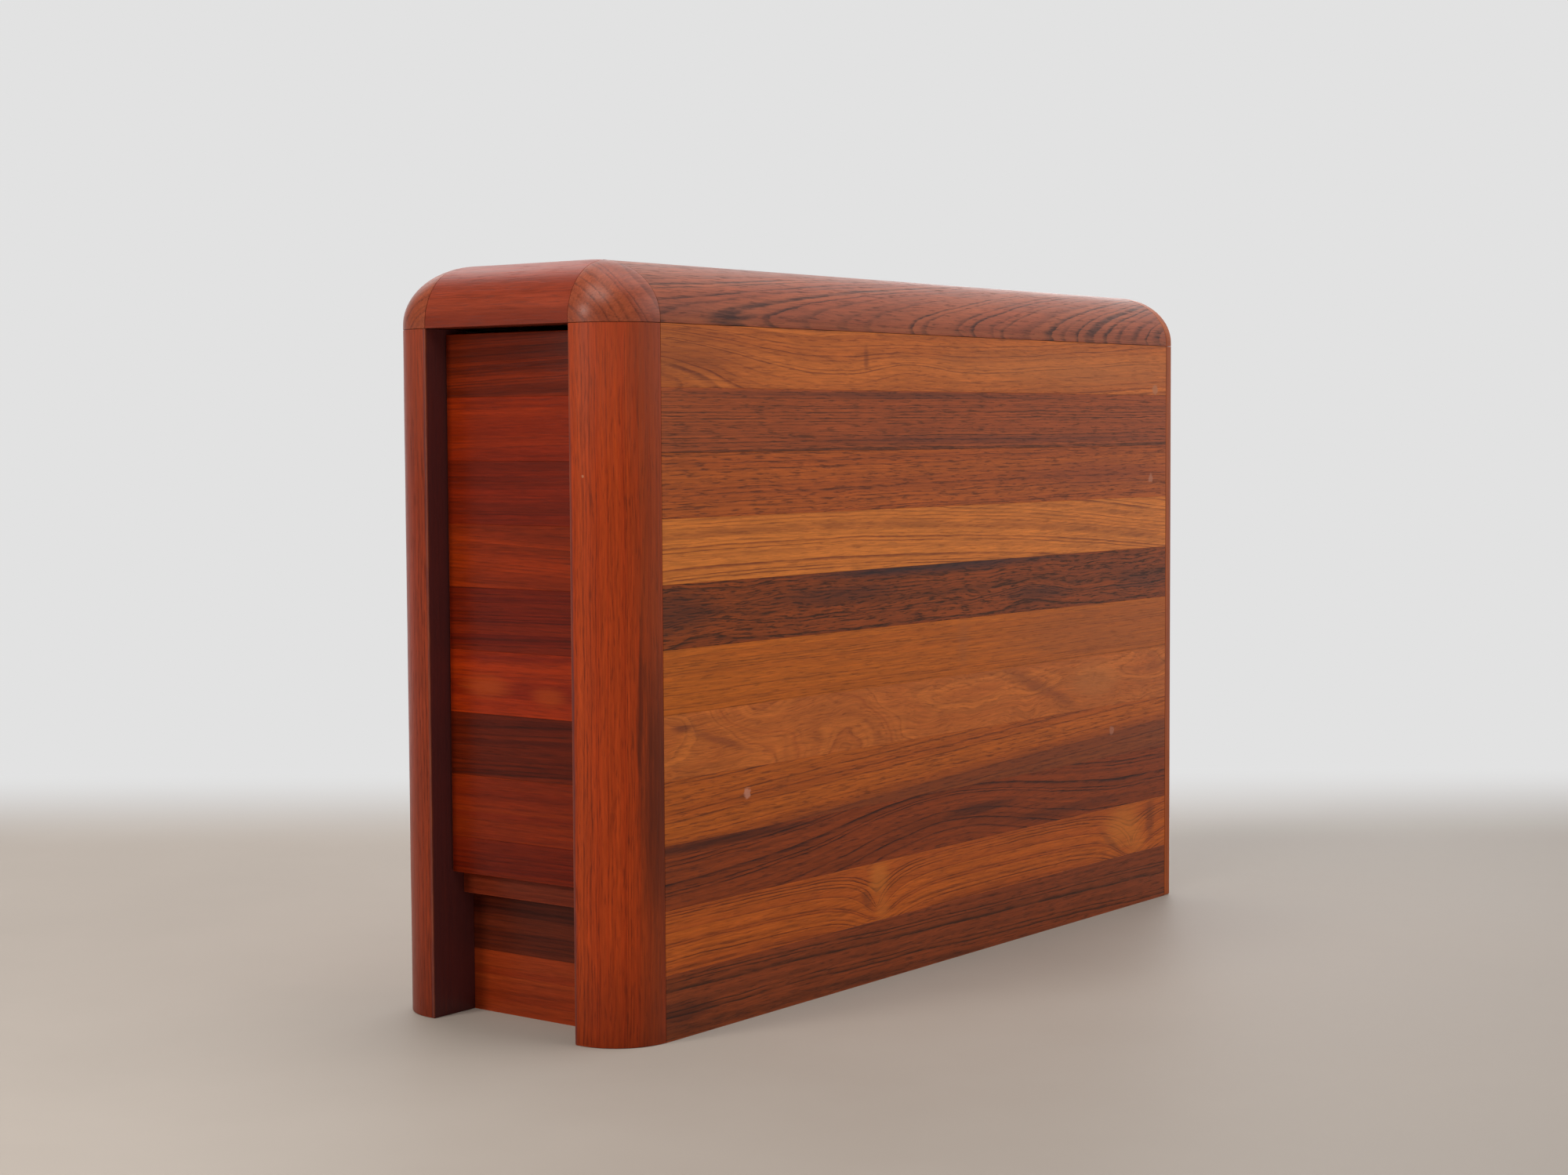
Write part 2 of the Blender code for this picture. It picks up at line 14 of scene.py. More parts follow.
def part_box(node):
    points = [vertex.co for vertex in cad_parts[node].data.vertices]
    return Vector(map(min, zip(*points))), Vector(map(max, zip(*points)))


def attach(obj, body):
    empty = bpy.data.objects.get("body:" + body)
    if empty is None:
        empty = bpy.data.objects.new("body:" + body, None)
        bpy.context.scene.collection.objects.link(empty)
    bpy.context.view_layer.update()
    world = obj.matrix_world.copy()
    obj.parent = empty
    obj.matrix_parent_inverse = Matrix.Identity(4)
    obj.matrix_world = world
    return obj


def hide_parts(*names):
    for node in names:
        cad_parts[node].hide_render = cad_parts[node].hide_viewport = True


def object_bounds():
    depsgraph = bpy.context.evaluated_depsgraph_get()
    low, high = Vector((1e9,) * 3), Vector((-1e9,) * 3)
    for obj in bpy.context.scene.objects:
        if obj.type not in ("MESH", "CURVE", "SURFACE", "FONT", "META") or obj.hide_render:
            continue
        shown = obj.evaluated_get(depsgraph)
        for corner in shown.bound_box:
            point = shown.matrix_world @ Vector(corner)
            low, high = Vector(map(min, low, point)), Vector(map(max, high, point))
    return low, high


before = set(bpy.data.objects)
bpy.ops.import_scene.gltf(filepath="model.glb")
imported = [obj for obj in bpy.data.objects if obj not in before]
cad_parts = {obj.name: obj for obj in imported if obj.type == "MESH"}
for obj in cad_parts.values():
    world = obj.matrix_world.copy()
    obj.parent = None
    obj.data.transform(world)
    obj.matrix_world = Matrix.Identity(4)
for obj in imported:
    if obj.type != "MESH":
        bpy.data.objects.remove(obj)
CAD_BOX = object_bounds()

MM = 0.001
SIDES = (("left", -1), ("right", 1))

# ---- sizes read from the frame ----
HALF_W = CAD_BOX[1].x
FRONT = CAD_BOX[0].y
REAR = CAD_BOX[1].y
HEIGHT = CAD_BOX[1].z
POST_LOW, POST_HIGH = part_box("front_post_right")
SIDE_LOW, SIDE_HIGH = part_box("side_panel_right")
RAIL_LOW, RAIL_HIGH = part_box("top_side_rail_right")
BLOCK_LOW, BLOCK_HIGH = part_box("corner_block_right")
FRONT_RAIL_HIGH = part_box("top_front_rail")[1]
ARCH_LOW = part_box("rear_lipping_top")[0]
LIP_LOW, LIP_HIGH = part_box("rear_lipping_right")
TOP_LOW, TOP_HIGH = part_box("top_panel")
FACE_LOW, FACE_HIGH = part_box("front_panel")
PLINTH_LOW, PLINTH_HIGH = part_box("plinth_board")
STRIP_LOW, STRIP_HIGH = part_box("bottom_board_lipping")
CAP_Z = RAIL_LOW.z

# ---- dimensions of the shaping ----
STAVE = 45 * MM
STAVES_FROM = CAP_Z + 1.2 * MM  # the top stave's upper edge, if it weren't trimmed under the rail
POST_R = 42 * MM  # plan radius of the posts
CAP_RISE = 42 * MM  # height of the rounded part of the top edge
SIDE_RUN = 59 * MM  # how far in from the side the top edge starts to round over
ROUND_Z = HEIGHT - CAP_RISE
ARC_X = HALF_W - SIDE_RUN  # where the side's rounding ends on the flat top
ARC_Y = FRONT + POST_R  # where the front's rounding ends on the flat top
JOINT = 0.16 * MM  # half the width and the depth of the fine line at a glue joint
ARRIS = 0.9 * MM  # rounding of a cut edge
REAR_ARRIS = 1.8 * MM
REBATE = 9 * MM
REBATE_DEPTH = 9.7 * MM
ARC_STEPS = 22
WELD = 0.002 * MM
SHARP_ANGLE = radians(28)  # edges that turn more than this aren't shaded smooth


# ---- node trees ----
def feed(tree, socket, value):
    """Links a socket to another node's output, or sets its value."""
    if isinstance(value, bpy.types.NodeSocket):
        tree.links.new(value, socket)
    else:
        if isinstance(value, tuple) and len(value) == 3 and len(socket.default_value) == 4:
            value = (*value, 1.0)
        socket.default_value = value


def node(tree, kind, inputs=None, **settings):
    """A node with its settings, and its inputs by name or number."""
    made = tree.nodes.new(kind)
    for key, value in settings.items():
        setattr(made, key, value)
    for key, value in (inputs or {}).items():
        feed(tree, made.inputs[key], value)
    return made


def calc(tree, operation, *values, clamp=False):
    """A Math node on up to three values."""
    made = node(tree, "ShaderNodeMath", dict(enumerate(values)), operation=operation, use_clamp=clamp)
    return made.outputs[0]


def times(tree, first, second):
    return calc(tree, "MULTIPLY", first, second)


def between(tree, value, low, high, to_low=0.0, to_high=1.0):
    """A smooth step from low to high."""
    inputs = dict(enumerate((value, low, high, to_low, to_high)))
    return node(tree, "ShaderNodeMapRange", inputs, interpolation_type="SMOOTHSTEP").outputs[0]


def vector(tree, operation, *values, **named):
    """A Vector Math node on one or two vectors, for a vector or for a number."""
    inputs = {**dict(enumerate(values)), **named}
    output = "Value" if operation in ("LENGTH", "DISTANCE", "DOT_PRODUCT") else 0
    return node(tree, "ShaderNodeVectorMath", inputs, operation=operation).outputs[output]


def combined(tree, x=0.0, y=0.0, z=0.0):
    return node(tree, "ShaderNodeCombineXYZ", {0: x, 1: y, 2: z}).outputs[0]


def parts(tree, place):
    """A vector's three numbers."""
    return node(tree, "ShaderNodeSeparateXYZ", {0: place}).outputs


def object_place(tree):
    return node(tree, "ShaderNodeTexCoord").outputs["Object"]


def blend(tree, share, first, second, kind="MIX"):
    inputs = {0: share, 6: first, 7: second}
    made = node(tree, "ShaderNodeMix", inputs, data_type="RGBA", blend_type=kind, clamp_factor=True)
    return made.outputs[2]


def noise_at(tree, place, scale, detail, rough, output=0, socket="Vector", **settings):
    inputs = {socket: place, "Scale": scale, "Detail": detail, "Roughness": rough}
    return node(tree, "ShaderNodeTexNoise", inputs, **settings).outputs[output]


def noise_along(tree, value, scale, detail, rough=0.5):
    """Noise of one number."""
    return noise_at(tree, value, scale, detail, rough, socket="W", noise_dimensions="1D")


def stretched(tree, place, along, across):
    """A place scaled by one factor along the grain and another across it."""
    return vector(tree, "MULTIPLY", place, (along, across, across))


def grain_noise(tree, place, kind, output=0):
    """Noise drawn out along the grain, of one of the kinds named under wood."""
    along, across, detail, rough = kind
    return noise_at(tree, stretched(tree, place, along, across), 1.0, detail, rough, output)


def surface(tree, shader, colour, rough, height=None, strength=0.0, distance=0.0):
    """Sets a surface's colour and roughness, and its relief where it has one."""
    feed(tree, shader.inputs["Base Color"], colour)
    feed(tree, shader.inputs["Roughness"], rough)
    if height is not None:
        bump = node(tree, "ShaderNodeBump", {"Strength": strength, "Distance": distance, "Height": height})
        feed(tree, shader.inputs["Normal"], bump.outputs[0])


def lighter(colour, gain, lift=0):
    return tuple(min(255, v * gain + lift) for v in colour)


def linear(colour):
    """An sRGB colour from 0 to 255 as linear light."""
    def one(v):
        v /= 255
        return v / 12.92 if v <= 0.04045 else ((v + 0.055) / 1.055) ** 2.4
    return tuple(one(v) for v in colour)


# ---- wood ----
WOOD_INPUTS = {
    "NodeSocketVector": ("Place", "Pith"),
    "NodeSocketColor": ("Light", "Base", "Dark"),
    "NodeSocketFloat": ("Seed", "Taper", "Bow", "Bow middle", "Push", "Wander", "Curl", "Ring", "Bands",
                        "Lines", "Pores"),
}
WOOD_OUTPUTS = {
    "NodeSocketColor": ("Colour",),
    "NodeSocketVector": ("Drift",),
    "NodeSocketFloat": ("Radius", "Relief", "Gloss"),
}
# Noises along the grain: features per metre along it and across it, detail, roughness.
SWEEPS = (2.2, 14.0, 2.0, 0.5)
CURLS = (11.0, 30.0, 2.0, 0.5)
RIPPLES = (34.0, 150.0, 3.0, 0.6)
GAPS = (16.0, 160.0, 3.0, 0.7)  # where a ring's line is faint
FIBRES = (46.0, 900.0, 2.0, 0.6)
SOFT_FIBRES = (10.0, 260.0, 3.0, 0.7)
PORES = (60.0, 820.0, 2.0, 0.6)
MOTTLE = (7.0, 16.0, 3.0, 0.6)
STAIN_EDGE = (26.0, 460.0, 3.0, 0.7)
RUBBED_EDGE = (30.0, 200.0, 4.0, 0.7)
YEAR_STEP = 7.31  # far enough apart in the noise for each ring to have a strength of its own
RING_DRIFT = 2.2  # how many rings the count strays, so that no two are equally wide
RIPPLE_REACH = 1.3 * MM  # how far the small waves of the grain stray
# Smooth steps: from, to, and what they go from and to.
LINE_SETS_IN = (0.0, 0.12)  # of a ring's width
LINE_FADES = (0.13, 0.55, 1.0, 0.0)
RING_STRENGTH = (0.34, 0.60, 0.30, 1.0)
GAP_STRENGTH = (0.34, 0.58, 0.35, 1.0)
BAND_EDGE = (0.34, 0.66)
PORE_LEVEL = 0.62  # noise above this is a pore, and more of it where there are many pores
PORE_GAIN = -0.10
PORE_SOFTNESS = 0.13
PORE_DEPTH = 0.12 * MM
SMOOTH_RELIEF = 0.05 * MM  # of metal and nylon
PORE_TONE = 0.8
FIBRE_TONE = 0.85
SOFT_FIBRE_TONE = 0.75
MOTTLE_TONE = 0.36


def wood_group():
    """Growth rings round a pith, cut by whatever surface shows them, with fibres and pores.

    Place is in metres, with x along the grain, y across the face and z into the wood.
    """
    tree = bpy.data.node_groups.new("wood", "ShaderNodeTree")
    for way, sockets in (("INPUT", WOOD_INPUTS), ("OUTPUT", WOOD_OUTPUTS)):
        for kind, names in sockets.items():
            for name in names:
                tree.interface.new_socket(name, in_out=way, socket_type=kind)
    given = tree.nodes.new("NodeGroupInput").outputs
    result = tree.nodes.new("NodeGroupOutput").inputs

    shift = combined(tree, given["Seed"], times(tree, given["Seed"], 0.37))
    place = vector(tree, "ADD", given["Place"], shift)
    part = parts(tree, vector(tree, "SUBTRACT", given["Place"], given["Pith"]))
    along = parts(tree, given["Place"])[0]

    # the rings
    drift = None
    for kind, reach in ((SWEEPS, given["Wander"]), (CURLS, given["Curl"]), (RIPPLES, RIPPLE_REACH)):
        warp = grain_noise(tree, place, kind, output=1)
        centred = vector(tree, "SUBTRACT", warp, (0.5, 0.5, 0.5))
        scaled = vector(tree, "SCALE", centred, Scale=reach)
        drift = scaled if drift is None else vector(tree, "ADD", drift, scaled)
    strayed = vector(tree, "ADD", place, drift)
    stray = parts(tree, drift)
    across = calc(tree, "ADD", part[1], stray[0])
    deep = calc(tree, "ADD", part[2], stray[1])
    squares = calc(tree, "MULTIPLY_ADD", across, across, times(tree, deep, deep))
    radius = calc(tree, "MULTIPLY_ADD", along, given["Taper"], calc(tree, "SQRT", squares))
    off_middle = calc(tree, "SUBTRACT", along, given["Bow middle"])
    bowed = times(tree, times(tree, off_middle, off_middle), given["Bow"])
    radius = calc(tree, "ADD", calc(tree, "ADD", radius, bowed), given["Push"])
    even = calc(tree, "ADD", calc(tree, "DIVIDE", radius, given["Ring"]), given["Seed"])
    rings = calc(tree, "MULTIPLY_ADD", noise_along(tree, even, 0.45, 1.0), RING_DRIFT, even)
    phase = calc(tree, "FRACT", rings)
    year = times(tree, calc(tree, "FLOOR", rings), YEAR_STEP)
    vigour = between(tree, noise_along(tree, year, 1.0, 0.0), *RING_STRENGTH)
    edge = times(tree, between(tree, phase, *LINE_SETS_IN), between(tree, phase, *LINE_FADES))
    edge = times(tree, edge, vigour)
    line = times(tree, edge, between(tree, grain_noise(tree, strayed, GAPS), *GAP_STRENGTH))
    band = between(tree, noise_along(tree, rings, 0.31, 2.0, 0.6), *BAND_EDGE)

    # fibres and pores
    fibre = grain_noise(tree, strayed, FIBRES)
    soft_fibre = grain_noise(tree, strayed, SOFT_FIBRES)
    dashes = grain_noise(tree, strayed, PORES)
    mottle = grain_noise(tree, place, MOTTLE)
    level = calc(tree, "MULTIPLY_ADD", given["Pores"], PORE_GAIN, PORE_LEVEL)
    level = calc(tree, "MULTIPLY_ADD", edge, PORE_GAIN, level)
    pore = calc(tree, "DIVIDE", calc(tree, "SUBTRACT", dashes, level), PORE_SOFTNESS, clamp=True)

    colour = blend(tree, times(tree, band, given["Bands"]), given["Light"], given["Base"])
    colour = blend(tree, times(tree, line, given["Lines"]), colour, given["Dark"])
    speck = times(tree, pore, times(tree, given["Pores"], PORE_TONE))
    colour = blend(tree, speck, colour, given["Dark"])
    tone = 1.0
    for variation, amount in ((fibre, FIBRE_TONE), (soft_fibre, SOFT_FIBRE_TONE), (mottle, MOTTLE_TONE)):
        tone = calc(tree, "MULTIPLY_ADD", calc(tree, "SUBTRACT", variation, 0.5), amount, tone)
    colour = blend(tree, 1.0, colour, combined(tree, tone, tone, tone), "MULTIPLY")

    relief = calc(tree, "MULTIPLY_ADD", pore, -0.8, times(tree, fibre, 0.35))
    relief = calc(tree, "MULTIPLY_ADD", line, -0.2, relief)
    gloss = calc(tree, "MULTIPLY_ADD", pore, 0.12, times(tree, soft_fibre, 0.16))
    results = {"Colour": colour, "Drift": drift, "Radius": radius, "Relief": relief, "Gloss": gloss}
    for name, value in results.items():
        feed(tree, result[name], value)
    return tree


WOOD = wood_group()
WOOD_IOR = 1.25  # oiled open grain reflects less than lacquer does
POLISHED_IOR = 1.36  # the front's rounded top edge has been polished by hands
EDGE_REACH = 1.5 * MM  # how far rubbed edges reach
EDGE_RUB = 0.45  # the lightened colour's share there
STAIN_FADE = (1.75, 0.75)
KNOT_FALL = -1.6  # how fast the push of a knot or a swell falls off
SWELL_FALL = -1.3
GRAIN = {"X": (0, 2, 1), "Y": (1, 2, 0), "Z": (2, 0, 1)}  # row axes along, across and into the wood


def grain_place(tree, axis):
    """The row frame's place, turned so that x runs along the grain."""
    part = parts(tree, object_place(tree))
    return combined(tree, *(part[i] for i in GRAIN[axis]))


def new_material(name):
    made = bpy.data.materials.new(name)
    made.use_nodes = True
    return made, made.node_tree, made.node_tree.nodes["Principled BSDF"]


def oval(tree, place, middle, reach):
    """How far a place is from a spot on the face, as a share of the spot's reach along and across."""
    scale = tuple(1 / (v * MM) for v in reach) + (0.0,)
    off = vector(tree, "SUBTRACT", place, (*middle, 0.0))
    shares = vector(tree, "MULTIPLY", off, scale)
    return vector(tree, "LENGTH", shares)


def push_of(tree, place, knots, swells):
    """What knots and swells add to the rings' radius: rings run to a point at a knot and round a swell.

    Each is (along, across, reach along, reach across, push).
    """
    total = 0.0
    for spots, squared, fall in ((knots, False, KNOT_FALL), (swells, True, SWELL_FALL)):
        for along, across, length, width, push in spots:
            away = oval(tree, place, (along, across), (length, width))
            away = times(tree, away, away) if squared else away
            bell = calc(tree, "EXPONENT", times(tree, away, fall))
            total = calc(tree, "MULTIPLY_ADD", bell, push * MM, total)
    return total


def stained(tree, colour, place, drift, stain):
    """Tints a long patch: (along, across, reach along, reach across, strength, tint, slant)."""
    along, across, length, width, strength, tint, slant = (*stain, 0.0)[:7]
    place = vector(tree, "ADD", place, vector(tree, "SCALE", drift, Scale=0.5))
    ragged = grain_noise(tree, place, STAIN_EDGE)
    if slant:
        run = calc(tree, "SUBTRACT", parts(tree, place)[0], along)
        place = vector(tree, "ADD", place, combined(tree, y=times(tree, run, -slant)))
    away = calc(tree, "ADD", oval(tree, place, (along, across), (length, width)), ragged)
    return blend(tree, between(tree, away, *STAIN_FADE, 0.0, strength), colour, linear(tint))


def zoned(tree, colour, radius, zone):
    """Tints the wood beyond one growth ring: (radius, softness, strength, tint)."""
    start, softness, strength, tint = zone
    return blend(tree, between(tree, radius, start, start + softness, 0.0, strength), colour, linear(tint))


def near_edge(tree, ragged, away, reach):
    """Falls unevenly from 1 at an edge to 0 about its reach away."""
    limit = times(tree, ragged, 2 * reach)
    return calc(tree, "DIVIDE", calc(tree, "SUBTRACT", limit, away), reach, clamp=True)


def worn(tree, colour, place, edge):
    """Rubs an edge that runs along the grain: (across, into, reach, strength, tint)."""
    across, into, reach, strength, tint = edge
    flat = vector(tree, "MULTIPLY", place, (0, 1, 1))
    away = vector(tree, "DISTANCE", flat, (0, across, into))
    share = near_edge(tree, grain_noise(tree, place, RUBBED_EDGE), away, reach)
    return blend(tree, times(tree, share, strength), colour, linear(tint))


def box_edges(tree, box):
    """1 along the edges of a box, where two of a place's three distances to its faces are small."""
    low, high = (Vector(v) for v in box)
    coords = object_place(tree)
    off = vector(tree, "ABSOLUTE", vector(tree, "SUBTRACT", coords, tuple((low + high) / 2)))
    x, y, z = parts(tree, vector(tree, "SUBTRACT", tuple((high - low) / 2), off))
    pairs = [calc(tree, "MAXIMUM", a, b) for a, b in ((x, y), (y, z), (z, x))]
    away = calc(tree, "MINIMUM", pairs[0], calc(tree, "MINIMUM", pairs[1], pairs[2]))
    return near_edge(tree, noise_at(tree, coords, 90.0, 4.0, 0.7), away, EDGE_REACH)


def mark(tree, colour, place, size, tint):
    """A small ragged spot of another colour."""
    coords = object_place(tree)
    ragged = noise_at(tree, coords, 260.0, 2.0, 0.6)
    away = vector(tree, "DISTANCE", coords, place)
    away = calc(tree, "ADD", away, times(tree, calc(tree, "SUBTRACT", ragged, 0.5), size * 1.2))
    return blend(tree, between(tree, away, size, size * 0.55, 0.0, 0.8), colour, linear(tint))


def wood(
    name, axis, base, light=None, dark=None, pith=(0, 0, 0), ring=4.0, taper=0.0, bow=0.0, bow_middle=0.0,
    wander=12.0, curl=0.0, seed=0.0, bands=0.8, lines=0.5, pores=0.45, knots=(), swells=(), stains=(),
    zones=(), edges=(), box=None, marks=(), rough=0.34, ior=WOOD_IOR,
):
    """A board's own wood. Pith is a place in the row frame, and box the one whose edges are rubbed.

    Ring, wander, curl and the reaches of knots, swells and stains are in mm.
    """
    made, tree, shader = new_material(name)
    light = light or lighter(base, 1.16, 4)
    dark = dark or tuple(v * 0.45 for v in base)
    place = grain_place(tree, axis)
    inputs = {
        "Place": place, "Seed": seed, "Pith": tuple(pith[i] for i in GRAIN[axis]), "Taper": taper,
        "Bow": bow, "Bow middle": bow_middle, "Wander": wander * MM, "Curl": curl * MM, "Ring": ring * MM,
        "Light": linear(light), "Base": linear(base), "Dark": linear(dark),
        "Bands": bands, "Lines": lines, "Pores": pores, "Push": push_of(tree, place, knots, swells),
    }
    figure = node(tree, "ShaderNodeGroup", inputs, node_tree=WOOD)
    colour = figure.outputs["Colour"]
    for zone in zones:
        colour = zoned(tree, colour, figure.outputs["Radius"], zone)
    for stain in stains:
        colour = stained(tree, colour, place, figure.outputs["Drift"], stain)
    for edge in edges:
        colour = worn(tree, colour, place, edge)
    if box:
        rub = times(tree, box_edges(tree, box), EDGE_RUB)
        colour = blend(tree, rub, colour, linear(lighter(light, 1.15, 8)))
    for spot in marks:
        colour = mark(tree, colour, *spot)
    shader.inputs["IOR"].default_value = ior
    rough = calc(tree, "ADD", figure.outputs["Gloss"], rough - 0.08)
    surface(tree, shader, colour, rough, figure.outputs["Relief"], 0.35, PORE_DEPTH)
    return made


# ---- shapes ----
def mesh_from(name, bm):
    mesh = bpy.data.meshes.new(name)
    bm.to_mesh(mesh)
    bm.free()
    return mesh


def add_object(name, data):
    made = bpy.data.objects.new(name, data)
    bpy.context.scene.collection.objects.link(made)
    return made


def piece(name, bm, body, material, replaced):
    """Turns a bmesh into a piece that rides on a body and stands for CAD nodes."""
    bmesh.ops.remove_doubles(bm, verts=bm.verts, dist=WELD)
    bmesh.ops.dissolve_degenerate(bm, edges=bm.edges, dist=WELD)
    bmesh.ops.recalc_face_normals(bm, faces=bm.faces)
    mesh = mesh_from(name, bm)
    mesh.shade_smooth()
    mesh.set_sharp_from_angle(angle=SHARP_ANGLE)
    mesh.materials.append(material)
    made = add_object(name, mesh)
    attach(made, body)
    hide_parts(*replaced)
    return made


def shaped(node_name, bm, material):
    """A piece of solid teak that stands for one faceted node of the case."""
    piece(f"{node_name}_shaped", bm, "case", material, (node_name,))


def loft(loops):
    """A closed skin through loops of equally many points, with a face at each end."""
    bm = bmesh.new()
    rings = [[bm.verts.new(p) for p in loop] for loop in loops]
    for lower, upper in zip(rings, rings[1:]):
        for i, corner in enumerate(lower):
            j = (i + 1) % len(lower)
            bm.faces.new((corner, lower[j], upper[j], upper[i]))
    bm.faces.new(rings[0])
    bm.faces.new(rings[-1])
    return bm


def arc(middle, radii, start, end, steps):
    """Points along an ellipse's arc in a plane, from one angle to another in degrees."""
    found = []
    for i in range(steps + 1):
        a = radians(start + (end - start) * i / steps)
        found.append((middle[0] + radii[0] * cos(a), middle[1] + radii[1] * sin(a)))
    return found


def rounded(low, high, radius, steps):
    """A rectangle with rounded corners, anticlockwise."""
    r = max(radius, 1e-6)
    corners = ((high[0] - r, low[1] + r, -90), (high[0] - r, high[1] - r, 0),
               (low[0] + r, high[1] - r, 90), (low[0] + r, low[1] + r, 180))
    outline = []
    for x, y, start in corners:
        outline += arc((x, y), (r, r), start, start + 90, steps)
    return outline


def quarter(steps):
    """The sine and cosine of evenly spaced angles over a quarter turn."""
    angles = [pi / 2 * i / steps for i in range(steps + 1)]
    return [(sin(a), cos(a)) for a in angles]


def easing(low, high, ease, steps):
    """Positions along a bar and how far its outline is drawn in there, to round both its ends."""
    start = [(low + ease * (1 - sine), ease * (1 - cosine)) for sine, cosine in quarter(steps)]
    start.reverse()
    return start + [(low + high - p, d) for p, d in reversed(start)]


def bar(low, high, axis, ease, steps=3):
    """A bar along a row axis, with all its edges rounded."""
    run = "XYZ".index(axis)
    across = [i for i in range(3) if i != run]
    small = [low[i] for i in across]
    large = [high[i] for i in across]
    loops = []
    for position, inset in easing(low[run], high[run], ease, steps):
        outline = rounded([v + inset for v in small], [v - inset for v in large], ease - inset, steps)
        points = [{run: position, across[0]: a, across[1]: b} for a, b in outline]
        loops.append([(point[0], point[1], point[2]) for point in points])
    return loft(loops)


def hand_finished(bm, depth=0.10 * MM, wave=22.0):
    """Shifts points a little along their normals, as a sanded surface wavers."""
    bm.normal_update()
    for vert in bm.verts:
        vert.co += vert.normal * depth * noise.noise(vert.co * wave)
    return bm


